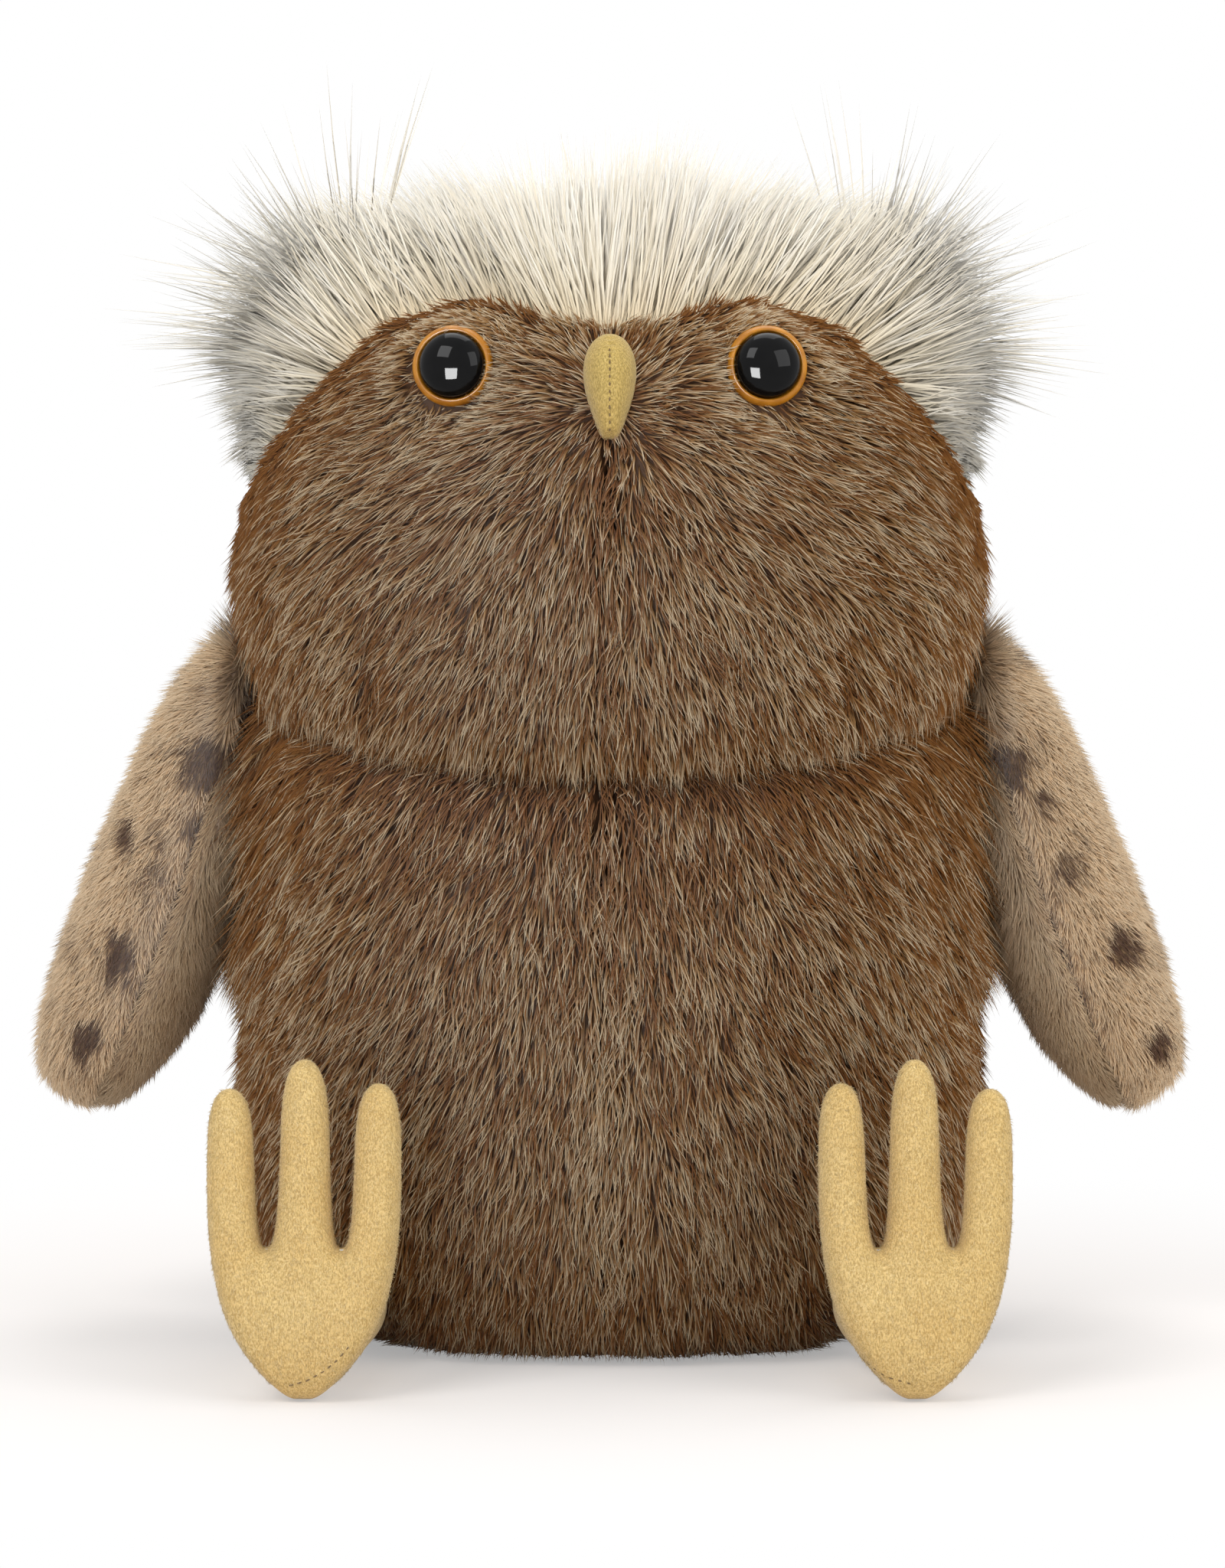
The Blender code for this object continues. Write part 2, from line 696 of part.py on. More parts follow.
def beak_form(head):
    """A stuffed teardrop that lies down the middle of the face."""
    top_z = NECK_HEIGHT + BEAK_TOP_HEIGHT
    top = surface_point(head, (0, -room(), top_z), (0, 1, 0))
    below = surface_point(head, (0, -room(), top_z - BEAK_LENGTH), (0, 1, 0))
    down = (below - top).normalized()
    ahead = Vector((1, 0, 0)).cross(down)
    if ahead.y > 0:
        ahead = -ahead
    start = top - ahead * BEAK_SINK
    sections = []
    for share, width, reach in BEAK_RING_SHARES:
        reaches = (BEAK_HALF_WIDTH * width, BEAK_HALF_WIDTH * width, BEAK_REACH * reach, BEAK_REACH * reach)
        sections.append((start + down * (BEAK_LENGTH * share), Vector((1, 0, 0)), ahead, reaches))
    return soft_form("beak_form", sections, start, start + down * BEAK_LENGTH, BEAK_COLUMNS)


# Wings


def wing_axes():
    """Down the wing, and out from the body across it, for the left wing."""
    down = Vector((math.sin(WING_LEAN), 0, -math.cos(WING_LEAN)))
    outward = Vector((math.cos(WING_LEAN), 0, math.sin(WING_LEAN)))
    return down, outward


def body_side(forms, y, z):
    """How far out the plush body reaches at this depth and height."""
    found = [surface_point(form, (room(), y, z), (-1, 0, 0)) for form in forms]
    return max([point.x for point in found if point is not None], default=0.0)


def wing_hinge(forms):
    """The left shoulder: as close in as the wing's inner swell can lie on the body."""
    down, outward = wing_axes()
    height = NECK_HEIGHT + WING_HINGE_ABOVE_NECK
    outs = []
    for share, inset, _, inner, depth in WING_RING_SHARES:
        inside = down * (WING_LENGTH * share) - outward * (WING_SEAM_IN * inset + WING_IN_SWELL * inner)
        for side in WING_CONTACT_SHARES:
            y = WING_BEHIND + side * WING_HALF_DEPTH * depth
            outs.append(body_side(forms, y, height + inside.z) + WING_CLEARANCE - inside.x)
    return Vector((max(outs), WING_BEHIND, height))


def wing_form(hinge):
    """The left wing: a rounded root about the hinge, a fuller inner side and a blunt tip."""
    down, outward = wing_axes()
    back = Vector((0, 1, 0))
    root_depth = WING_HALF_DEPTH * WING_ROOT_DEPTH_SHARE
    root = (WING_ROOT_RADIUS, WING_ROOT_RADIUS, root_depth, root_depth)
    sections = []
    for climb in ROOT_CLIMB_SHARES:
        reaches = [reach * math.sqrt(1 - climb * climb) for reach in root]
        sections.append((hinge + down * (WING_ROOT_RADIUS * climb), outward, back, reaches))
    for share, inset, outer, inner, depth in WING_RING_SHARES:
        half_depth = WING_HALF_DEPTH * depth
        reaches = (WING_OUT_SWELL * outer, WING_IN_SWELL * inner, half_depth, half_depth)
        centre = hinge + down * (WING_LENGTH * share) - outward * (WING_SEAM_IN * inset)
        sections.append((centre, outward, back, reaches))
    top, tip = hinge - down * WING_ROOT_RADIUS, hinge + down * WING_LENGTH - outward * WING_SEAM_IN
    return soft_form("wing_form", sections, top, tip, WING_COLUMNS, WING_SQUARE_SHARE)


def armhole(hinge):
    """The hollow that the wing's root turns in, where it is sewn into the side seam."""
    bm = bmesh.new()
    bmesh.ops.create_uvsphere(bm, u_segments=TURN_STEPS, v_segments=BALL_RINGS, radius=1.0)
    radius = WING_ROOT_RADIUS + 3 * WING_CLEARANCE
    depth = WING_HALF_DEPTH * WING_ROOT_DEPTH_SHARE + 3 * WING_CLEARANCE
    bmesh.ops.scale(bm, vec=(radius, depth, radius), verts=bm.verts)
    bmesh.ops.translate(bm, vec=hinge, verts=bm.verts)
    return from_bmesh("armhole", bm)


# Legs and feet


def hip_place(trunk):
    """The left hip, sunk a little into the front of the trunk just above the floor."""
    height = LEG_RADIUS + LEG_FLOOR_GAP
    front = surface_point(trunk, (HIP_OUT, -room(), height), (0, 1, 0))
    return Vector((HIP_OUT, front.y - LEG_RADIUS + HIP_SINK, height))


def leg_direction():
    return Vector((math.sin(LEG_SPLAY), -math.cos(LEG_SPLAY), 0))


def leg_form(hip):
    """The left leg: a short stuffed tube, round about the hip."""
    ahead = leg_direction()
    across, up = ahead.cross(Vector((0, 0, 1))), Vector((0, 0, 1))
    sections = []
    for climb in ROOT_CLIMB_SHARES:
        radius = LEG_RADIUS * math.sqrt(1 - climb * climb)
        sections.append((hip + ahead * (LEG_RADIUS * climb), across, up, (radius,) * 4))
    for share, swell in LEG_RING_SHARES:
        sections.append((hip + ahead * (LEG_REACH * share), across, up, (LEG_RADIUS * swell,) * 4))
    end = hip + ahead * (LEG_REACH + LEG_RADIUS * LEG_END_SHARE)
    return soft_form("leg_form", sections, hip - ahead * LEG_RADIUS, end, LEG_COLUMNS)[0]


def hip_hollow(hip):
    """The hollow that the leg's round root turns in."""
    bm = bmesh.new()
    radius = LEG_RADIUS + 2 * HIP_CLEARANCE
    bmesh.ops.create_uvsphere(bm, u_segments=TURN_STEPS, v_segments=BALL_RINGS, radius=radius)
    bmesh.ops.translate(bm, vec=hip, verts=bm.verts)
    return from_bmesh("hip_hollow", bm)


def foot_cage():
    """The cage of a three-toed foot that stands on its heel, with its sole towards -Y."""
    half_width = FOOT_WIDTH / 2 * FOOT_CAGE_SHARE
    half_thick = FOOT_THICKNESS / 2 * FOOT_CAGE_SHARE
    bm = bmesh.new()

    def pair(x, z, thickness):
        reach = half_thick * thickness
        return bm.verts.new((x, -reach, z)), bm.verts.new((x, reach, z))

    palm = []
    for (height, width), thickness in zip(PALM_ROW_SHARES, PALM_THICKNESS_SHARES):
        row = [pair(half_width * width * edge, FOOT_HEIGHT * height, thickness) for edge in TOE_EDGE_SHARES]
        palm.append(row)
    for low, high in zip(palm, palm[1:]):
        for i in range(len(low) - 1):
            bm.faces.new((low[i][0], low[i + 1][0], high[i + 1][0], high[i][0]))
            bm.faces.new((low[i + 1][1], low[i][1], high[i][1], high[i + 1][1]))
        bm.faces.new((low[0][1], low[0][0], high[0][0], high[0][1]))
        bm.faces.new((low[-1][0], low[-1][1], high[-1][1], high[-1][0]))
    heel, top = palm[0], palm[-1]
    for i in range(len(heel) - 1):
        bm.faces.new((heel[i][0], heel[i][1], heel[i + 1][1], heel[i + 1][0]))
    for i in (1, 3):
        bm.faces.new((top[i][0], top[i + 1][0], top[i + 1][1], top[i][1]))
    for toe, rows in enumerate(TOE_ROW_SHARES):
        below = [top[2 * toe], top[2 * toe + 1]]
        for (height, middle, half), thickness in zip(rows, TOE_THICKNESS_SHARES):
            z = FOOT_HEIGHT * height
            above = [pair(half_width * (middle + sign * half), z, thickness) for sign in (-1, 1)]
            (lf, lb), (rf, rb) = below
            (tlf, tlb), (trf, trb) = above
            bm.faces.new((lf, rf, trf, tlf))
            bm.faces.new((rb, lb, tlb, trb))
            bm.faces.new((lb, lf, tlf, tlb))
            bm.faces.new((rf, rb, trb, trf))
            below = above
        (lf, lb), (rf, rb) = below
        bm.faces.new((lf, rf, rb, lb))
    return from_bmesh("foot_form", bm)


def foot_form(hip):
    """The left foot in place at the end of its leg, its heel on the floor. Also its turn."""
    foot = soft_pair(foot_cage())
    turn = Matrix.Rotation(FOOT_SPLAY, 4, "Z") @ Matrix.Rotation(-FOOT_LEAN, 4, "X")
    for solid in foot:
        solid.data.transform(turn)
    low, _ = span_of(foot[0])
    end = hip + leg_direction() * LEG_REACH
    place = Vector((end.x, end.y - FOOT_THICKNESS / 2 + SUEDE_WALL, -low.z - FOOT_FLAT))
    for solid in foot:
        solid.data.transform(Matrix.Translation(place))
    return foot, Matrix.Translation(place) @ turn


# Assembly


def seam_sides():
    """Cutters for the left front, the right front and the back of a cover, a seam gap apart."""
    reach, gap = room(), SEAM_GAP / 2
    return {
        "left": block("left_front", (gap, -reach, -reach), (reach, SIDE_SEAM_BEHIND - gap, reach)),
        "right": block("right_front", (-reach, -reach, -reach), (-gap, SIDE_SEAM_BEHIND - gap, reach)),
        "back": block("behind", (-reach, SIDE_SEAM_BEHIND + gap, -reach), (reach, reach, reach)),
    }


def cutter_pair(solid):
    """A cutter and its mirror image."""
    return [solid, mirrored(solid, solid.name + "_right")]


def both_sides(left, name, finish, hinges=(None, None)):
    """Makes the left piece and its mirror image parts of the owl."""
    right = mirrored(left, name)
    part(left, "left_" + name, finish, hinges[0])
    part(right, "right_" + name, finish, hinges[1])


def build_body(finishes):
    """Trunk, head, mane, face and fillings. Returns what the limbs are fitted to."""
    trunk_pair, head_pair = trunk_form(), head_form()
    (trunk, trunk_core), (head, head_core) = trunk_pair, head_pair
    sides = seam_sides()
    hinge, hip = wing_hinge((trunk, head)), hip_place(trunk)
    eye_place, eye_ahead = eye_frame(head)
    eye_cutters = cutter_pair(along_axis(eye_room(), eye_place, eye_ahead))
    hollows = cutter_pair(armhole(hinge)) + cutter_pair(hip_hollow(hip))
    above_floor = block("above_floor", (-room(), -room(), 0), (room(), room(), room()))
    below_neck, above_neck = neck_block("below_neck", False), neck_block("above_neck", True)

    base = turned("base", BASE_PROFILE_SHARES)
    base.data.transform(Matrix.Diagonal((BASE_HALF_WIDTH, BASE_HALF_DEPTH, BASE_THICKNESS, 1)))
    base_hole = turned("base_hole", BASE_HOLE_SHARES)
    base_hole.data.transform(
        Matrix.Diagonal((BASE_HALF_WIDTH + SEAM_GAP, BASE_HALF_DEPTH + SEAM_GAP, BASE_THICKNESS, 1))
    )

    cover = cut(walled(trunk_pair, "trunk_cover", PLUSH_WALL), above_floor, "INTERSECT")
    cover = cut(cut(cover, below_neck, "INTERSECT"), base_hole)
    for hollow in hollows:
        cover = cut(cover, hollow)
    belly = cut(copied(cover, "belly"), sides["left"], "INTERSECT")
    both_sides(belly, "belly_panel", finishes["brown_plush"])
    part(cut(copied(cover, "back"), sides["back"], "INTERSECT"), "back_panel", finishes["brown_plush"])
    part(base, "base_panel", finishes["brown_plush"])

    crown_line = below_brow("below_brow", 0, room())
    nape_line = below_nape("below_nape", 0, CUTTER_OVERRUN)
    cover = cut(walled(head_pair, "head_cover", PLUSH_WALL), above_neck, "INTERSECT")
    for hollow in hollows[:2] + eye_cutters:
        cover = cut(cover, hollow)
    face = cut(cut(copied(cover, "face"), sides["left"], "INTERSECT"), crown_line, "INTERSECT")
    both_sides(face, "face_panel", finishes["brown_plush"])
    nape = cut(cut(copied(cover, "nape"), sides["back"], "INTERSECT"), nape_line, "INTERSECT")
    part(nape, "nape_panel", finishes["brown_plush"])

    mane = cut(mane_envelope(), below_brow("mane_brow", SEAM_GAP, SIDE_SEAM_BEHIND))
    mane = cut(mane, below_nape("mane_nape", SEAM_GAP, SEAM_GAP))
    mane = cut(mane, offset(head_core, "mane_hollow", -PLUSH_WALL))
    for cutter in eye_cutters:
        mane = cut(mane, cutter)
    part(mane, "mane", finishes["cream_pile"])

    fill_depth = -PLUSH_WALL - FILL_GAP
    head_fill = cut(offset(head_core, "head_stuffing", fill_depth), above_neck, "INTERSECT")
    for cutter in eye_cutters:
        head_fill = cut(head_fill, cutter)
    part(head_fill, "head_stuffing", finishes["fibre"])

    bag_rings = []
    for share, swell in BAG_RING_SHARES:
        reaches = (BAG_HALF_WIDTH * swell,) * 2 + (BAG_HALF_DEPTH * swell,) * 2
        centre = Vector((0, 0, BASE_THICKNESS + SEAM_GAP + BAG_HEIGHT * share))
        bag_rings.append(ring_points(centre, Vector((1, 0, 0)), Vector((0, 1, 0)), reaches, TURN_STEPS))
    bag_foot = Vector((0, 0, BASE_THICKNESS + SEAM_GAP))
    bag = skin_rings("bag", bag_rings, bag_foot, bag_foot + Vector((0, 0, BAG_HEIGHT)))
    bag_room = offset(bag, "bag_room", SEAM_GAP)
    fill_floor = block("fill_floor", (-room(), -room(), BASE_THICKNESS + SEAM_GAP), (room(), room(), room()))
    trunk_fill = cut(offset(trunk_core, "body_stuffing", fill_depth), below_neck, "INTERSECT")
    trunk_fill = cut(cut(trunk_fill, fill_floor, "INTERSECT"), bag_room)
    part(bag, "bean_bag", finishes["lining"])
    part(trunk_fill, "body_stuffing", finishes["fibre"])
    return trunk, head, hinge, hip, eye_place, eye_ahead


def build_face(head, eye_place, eye_ahead, finishes):
    """Both eyes with their washers, and the beak."""
    solids = (
        ("eye_iris", iris_solid(), "amber_plastic"),
        ("eye_pupil", pupil_solid(), "black_plastic"),
        ("eye_washer", washer_solid(), "white_nylon"),
    )
    for name, solid, finish in solids:
        both_sides(along_axis(solid, eye_place, eye_ahead), name, finishes[finish])
    form = beak_form(head)
    face = offset(head, "face_clear", SEAM_GAP)
    part(cut(walled(form, "beak_wall", BEAK_WALL), face), "beak_cover", finishes["yellow_suede"])
    filling = cut(offset(form[1], "beak_fill", -BEAK_WALL - FILL_GAP), face)
    part(filling, "beak_stuffing", finishes["fibre"])


def build_wings(hinge, finishes):
    """Each wing's spotted outer panel, plain inner panel and filling, hung from its shoulder."""
    down, outward = wing_axes()
    form = wing_form(hinge)
    wall = walled(form, "wing_wall", WING_WALL)
    reach, gap = room(), SEAM_GAP / 2
    turn = Matrix((
        (outward.x, 0, down.x, hinge.x),
        (outward.y, 1, down.y, hinge.y),
        (outward.z, 0, down.z, hinge.z),
        (0, 0, 0, 1),
    ))
    outer_side = block("outer_side", (gap - WING_SEAM_IN, -reach, -reach), (reach, reach, reach))
    inner_side = block("inner_side", (-reach, -reach, -reach), (-gap - WING_SEAM_IN, reach, reach))
    for side in (outer_side, inner_side):
        side.data.transform(turn)
        side.data.flip_normals()
    solids = (
        ("wing_outer_panel", cut(copied(wall, "outer"), outer_side, "INTERSECT"), "spotted_plush"),
        ("wing_inner_panel", cut(copied(wall, "inner"), inner_side, "INTERSECT"), "beige_plush"),
        ("wing_stuffing", offset(form[1], "wing_fill", -WING_WALL - FILL_GAP), "fibre"),
    )
    place_pairs(solids, hinge, "wing_joint", finishes)


def place_pairs(solids, place, joint, finishes):
    """Puts each left solid and its mirror image on the joints of the two sides."""
    hinges = (
        joint_empty("left_" + joint, place),
        joint_empty("right_" + joint, Vector((-place.x, place.y, place.z))),
    )
    for name, left, finish in solids:
        both_sides(left, name, finishes[finish], hinges)


def build_legs(hip, finishes):
    """Each leg with its foot's sole panel, back panel and filling, hung from its hip."""
    foot, turn = foot_form(hip)
    reach, gap = room(), SEAM_GAP / 2
    above_floor = block("foot_floor", (-reach, -reach, 0), (reach, reach, reach))
    outside = cut(foot[0], above_floor, "INTERSECT")
    wall = walled((outside, foot[1]), "foot_wall", SUEDE_WALL)
    front = block("foot_front", (-reach, -reach, -reach), (reach, -gap, reach))
    back = block("foot_back", (-reach, gap, -reach), (reach, reach, reach))
    for side in (front, back):
        side.data.transform(turn)
    leg = cut(leg_form(hip), offset(outside, "foot_clear", SEAM_GAP))
    filling = offset(foot[1], "foot_fill", -SUEDE_WALL - FILL_GAP)
    solids = (
        ("foot_sole", cut(copied(wall, "sole"), front, "INTERSECT"), "yellow_suede"),
        ("foot_back", cut(copied(wall, "back_half"), back, "INTERSECT"), "yellow_suede"),
        ("foot_stuffing", filling, "fibre"),
        ("leg", leg, "yellow_suede"),
    )
    place_pairs(solids, hip, "hip_joint", finishes)


def build_owl():
    start_scene()
    finishes = {
        "brown_plush": plain_material("brown_plush", (0.20, 0.12, 0.07), 0.95),
        "cream_pile": plain_material("cream_pile", (0.80, 0.74, 0.64), 0.95),
        "spotted_plush": plain_material("spotted_plush", (0.42, 0.30, 0.20), 0.95),
        "beige_plush": plain_material("beige_plush", (0.46, 0.35, 0.25), 0.95),
        "yellow_suede": plain_material("yellow_suede", (0.68, 0.52, 0.20), 0.9),
        "amber_plastic": plain_material("amber_plastic", (0.62, 0.27, 0.03), 0.35),
        "black_plastic": plain_material("black_plastic", (0.01, 0.01, 0.01), 0.05),
        "white_nylon": plain_material("white_nylon", (0.85, 0.85, 0.83), 0.5),
        "fibre": plain_material("fibre", (0.9, 0.9, 0.9), 1.0),
        "lining": plain_material("lining", (0.75, 0.72, 0.66), 0.9),
    }
    trunk, head, hinge, hip, eye_place, eye_ahead = build_body(finishes)
    build_face(head, eye_place, eye_ahead, finishes)
    build_wings(hinge, finishes)
    build_legs(hip, finishes)
    print("wing hinge", [round(value, 5) for value in hinge])
    print("hip", [round(value, 5) for value in hip])
    print("eye", [round(value, 5) for value in eye_place], [round(value, 4) for value in eye_ahead])


build_owl()
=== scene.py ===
"""Looks of the seated plush owl: its fur, mane, wings, eyes, beak and suede feet, round the packed CAD frame."""

import json
import math

import bmesh
import bpy
import numpy as np
from bpy.props import FloatProperty, FloatVectorProperty, PointerProperty
from bpy.types import Operator, Panel, PropertyGroup
from mathutils import Matrix, Vector
from mathutils.bvhtree import BVHTree


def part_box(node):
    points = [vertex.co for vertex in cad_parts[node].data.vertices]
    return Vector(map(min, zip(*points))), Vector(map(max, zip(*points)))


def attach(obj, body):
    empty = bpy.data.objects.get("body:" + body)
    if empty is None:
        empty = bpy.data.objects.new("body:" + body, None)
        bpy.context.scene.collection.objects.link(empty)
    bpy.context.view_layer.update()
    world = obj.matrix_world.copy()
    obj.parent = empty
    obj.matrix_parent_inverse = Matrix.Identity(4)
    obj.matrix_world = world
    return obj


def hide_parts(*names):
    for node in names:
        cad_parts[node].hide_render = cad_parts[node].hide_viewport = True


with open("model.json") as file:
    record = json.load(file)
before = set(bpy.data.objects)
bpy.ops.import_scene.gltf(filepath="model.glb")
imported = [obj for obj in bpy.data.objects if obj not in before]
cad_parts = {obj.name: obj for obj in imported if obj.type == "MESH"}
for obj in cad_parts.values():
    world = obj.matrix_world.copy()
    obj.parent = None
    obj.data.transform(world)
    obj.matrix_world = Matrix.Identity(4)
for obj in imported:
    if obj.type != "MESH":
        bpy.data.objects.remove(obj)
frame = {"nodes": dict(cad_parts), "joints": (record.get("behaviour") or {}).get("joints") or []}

bl_info = {
    "name": "Plush Owl",
    "version": (1, 0, 0),
    "blender": (4, 5, 0),
    "location": "View3D > Sidebar > Owl",
    "description": "Builds the fur, face, wings and feet of a seated plush owl round its packed frame",
    "category": "Object",
}

# Forms, as the CAD source has them: rings of shares, and the sizes that they are shares of
NECK_HEIGHT, NECK_TILT = 0.152, math.radians(11.5)
TRUNK = {"half": 0.0875, "front": 0.080, "back": 0.075, "height": 0.152, "square": 2.25, "lean": (0.45, 1.0)}
TRUNK_RINGS = (
    (0.000, 0.715, 0.680, 0.690), (0.080, 0.905, 0.865, 0.875), (0.260, 1.010, 0.985, 0.990),
    (0.520, 0.977, 1.015, 1.010), (0.780, 0.940, 0.985, 0.955), (0.950, 0.925, 0.955, 0.915),
    (1.050, 0.850, 0.865, 0.830),
)
HEAD = {"half": 0.0875, "front": 0.084, "back": 0.073, "height": 0.104, "square": 2.20, "lean": (0.05, 0.70)}
HEAD_RINGS = (
    (-0.080, 0.840, 0.830, 0.790), (0.030, 0.955, 0.970, 0.910), (0.220, 1.010, 1.020, 0.990),
    (0.470, 1.000, 0.995, 1.010), (0.710, 0.870, 0.875, 0.915), (0.870, 0.665, 0.700, 0.745),
    (0.965, 0.390, 0.460, 0.490),
)
FLOOR_SINK, TRUNK_TOP, HEAD_BOTTOM = 0.004, 1.16, -0.20
SIDE_SEAM_Y = 0.012
NECK_LAP, BROW_LAP = 0.004, 0.0010
BROW_SIDE, BROW_PEAK, BROW_DIP, BROW_OUT = 0.1930, 0.2415, 0.2350, 0.0340
BROW_RISE = ((0.15, 0.28), (0.37, 0.57), (0.66, 0.87))
BROW_FALL = ((0.70, 0.80), (0.40, 0.25))
NAPE_SLOPE = math.radians(11)
PILE_DEPTH, MANE_SINK = 0.0036, 0.0060
EYE_PLACE, EYE_AHEAD = Vector((0.03467, -0.06284, 0.22507)), Vector((0.1545, -0.9755, 0.1564))
EYE_RADIUS, IRIS_THICKNESS, PUPIL_RADIUS, PUPIL_DOME = 0.0091, 0.0028, 0.0073, 0.0042
BEAK = {"top": 0.2326, "length": 0.0260, "half": 0.0061, "reach": 0.0085, "sink": 0.0010}
BEAK_RINGS = ((0.07, 0.66, 0.60), (0.27, 1.02, 0.98), (0.52, 0.93, 1.05), (0.76, 0.62, 0.86), (0.94, 0.36, 0.50))
WING = {"length": 0.110, "depth": 0.027, "out": 0.0236, "in": 0.0160, "seam": 0.0090, "root": 0.0080,
    "root_depth": 0.0135}
WING_LEAN, WING_PILE = math.radians(21), 0.0024
WING_RINGS = (
    (0.13, 0.60, 0.76, 0.50, 0.63), (0.32, 1.00, 0.96, 0.72, 0.85), (0.54, 1.00, 1.01, 1.00, 1.00),
    (0.74, 1.00, 0.98, 0.96, 0.98), (0.90, 0.92, 0.86, 0.60, 0.80), (0.975, 0.65, 0.50, 0.38, 0.45),
)
ROOT_CLIMBS = (-0.72, 0.0)
LEG = {"radius": 0.0115, "reach": 0.046, "splay": math.radians(8)}
LEG_RINGS = ((0.55, 0.95), (1.00, 0.84))
FOOT = {"width": 0.0436, "height": 0.0755, "thick": 0.0160, "lean": math.radians(6), "splay": math.radians(3),
    "cage": 1.09}
PALM_ROWS = ((-0.02, 0.22, 0.62), (0.18, 0.775, 1.06), (0.45, 0.955, 1.00))
TOE_EDGES = (-1.0, -0.405, -0.345, 0.335, 0.395, 1.0)
TOE_ROWS = (
    ((0.67, -0.69, 0.275, 0.80), (0.950, -0.70, 0.255, 0.73)),
    ((0.70, -0.01, 0.285, 0.80), (1.022, 0.00, 0.270, 0.73)),
    ((0.67, 0.69, 0.275, 0.80), (0.930, 0.71, 0.255, 0.73)),
)
SUEDE_WALL = 0.0012


# Small tools


def new_object(name, mesh):
    obj = bpy.data.objects.new(name, mesh)
    bpy.context.scene.collection.objects.link(obj)
    return obj


def mesh_of(name, points, faces):
    mesh = bpy.data.meshes.new(name)
    mesh.from_pydata([tuple(p) for p in points], [], [tuple(f) for f in faces])
    mesh.update()
    return mesh


def settled(obj):
    """Gives obj the mesh that its modifiers make, and removes them."""
    bpy.context.view_layer.update()
    graph = bpy.context.evaluated_depsgraph_get()
    mesh = bpy.data.meshes.new_from_object(obj.evaluated_get(graph))
    obj.modifiers.clear()
    obj.data = mesh
    return obj


def drop(*objects):
    for obj in objects:
        bpy.data.objects.remove(obj, do_unlink=True)


def vertex_array(mesh):
    values = np.empty(len(mesh.vertices) * 3)
    mesh.vertices.foreach_get("co", values)
    return values.reshape(-1, 3)


def normal_array(mesh):
    values = np.empty(len(mesh.vertices) * 3)
    mesh.vertex_normals.foreach_get("vector", values)
    return values.reshape(-1, 3)


def quad_array(mesh):
    values = np.empty(len(mesh.polygons) * 4, int)
    mesh.polygons.foreach_get("vertices", values)
    return values.reshape(-1, 4)


def ease(value, start, end):
    """From 0 at start to 1 at end, evenly eased, for numbers and arrays."""
    t = np.clip((value - start) / (end - start), 0.0, 1.0)
    return t * t * (3 - 2 * t)


def unit(vectors):
    return vectors / np.maximum(np.linalg.norm(vectors, axis=-1, keepdims=True), 1e-9)


def put_attribute(mesh, name, kind, values):
    attribute = mesh.attributes.get(name) or mesh.attributes.new(name, kind, "POINT")
    attribute.data.foreach_set("vector" if kind == "FLOAT_VECTOR" else "value", np.ravel(values).astype(np.float32))


def finish_piece(obj, name, body, stands_for=()):
    """Names a finished piece and hands it to its body."""
    obj.name = obj.data.name = name
    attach(obj, body)
    if stands_for:
        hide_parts(*stands_for)
    return obj


# Settings


def srgb(text):
    """A linear colour from a hex colour as seen on screen."""
    values = [int(text[k:k + 2], 16) / 255 for k in (0, 2, 4)]
    return tuple(v / 12.92 if v <= 0.04045 else ((v + 0.055) / 1.055) ** 2.4 for v in values)


def length_of(name, about, default):
    return FloatProperty(name=name, description=about, default=default, min=0.0, soft_max=0.2, precision=5,
        unit="LENGTH")


def colour_of(name, about, default):
    return FloatVectorProperty(name=name, description=about, default=srgb(default), min=0.0, max=1.0, subtype="COLOR")


def number_of(name, about, default, largest):
    return FloatProperty(name=name, description=about, default=default, min=0.0, max=largest)


class OwlBrownFur(PropertyGroup):
    """Brown fur of the face, belly and back"""

    length: length_of("Pile length", "Length of a hair of the brown plush", 0.0105)
    width: length_of("Hair width", "Width of a hair where it is thickest", 0.00044)
    density: number_of("Hairs", "Hairs on a square metre of cloth", 1.30e6, 4e6)
    root: colour_of("Root", "Colour at the foot of a hair", "4c3017")
    dark_middle: colour_of("Dark middle", "Colour of a dark hair", "6c4119")
    dark_tip: colour_of("Dark tip", "Colour of a dark hair's tip", "8b5c2a")
    pale_middle: colour_of("Pale middle", "Colour of a frosted hair", "957043")
    pale_tip: colour_of("Pale tip", "Colour of a frosted hair's tip", "e0cfb0")


class OwlMane(PropertyGroup):
    """Long cream pile of the mane"""

    length: length_of("Pile length", "Length of the mane's longest hairs", 0.050)
    width: length_of("Hair width", "Width of a lock of fine hairs", 0.00050)
    density: number_of("Hairs", "Hairs on a square metre of cloth", 1.20e6, 4e6)
    root: colour_of("Root", "Colour at the foot of a hair", "f0dcb8")
    dark_middle: colour_of("Dark middle", "Colour of a darker hair", "f3e6cb")
    dark_tip: colour_of("Dark tip", "Colour of a darker hair's tip", "f8efdc")
    pale_middle: colour_of("Pale middle", "Colour of a paler hair", "f8efdd")
    pale_tip: colour_of("Pale tip", "Colour of a paler hair's tip", "fdf9ef")


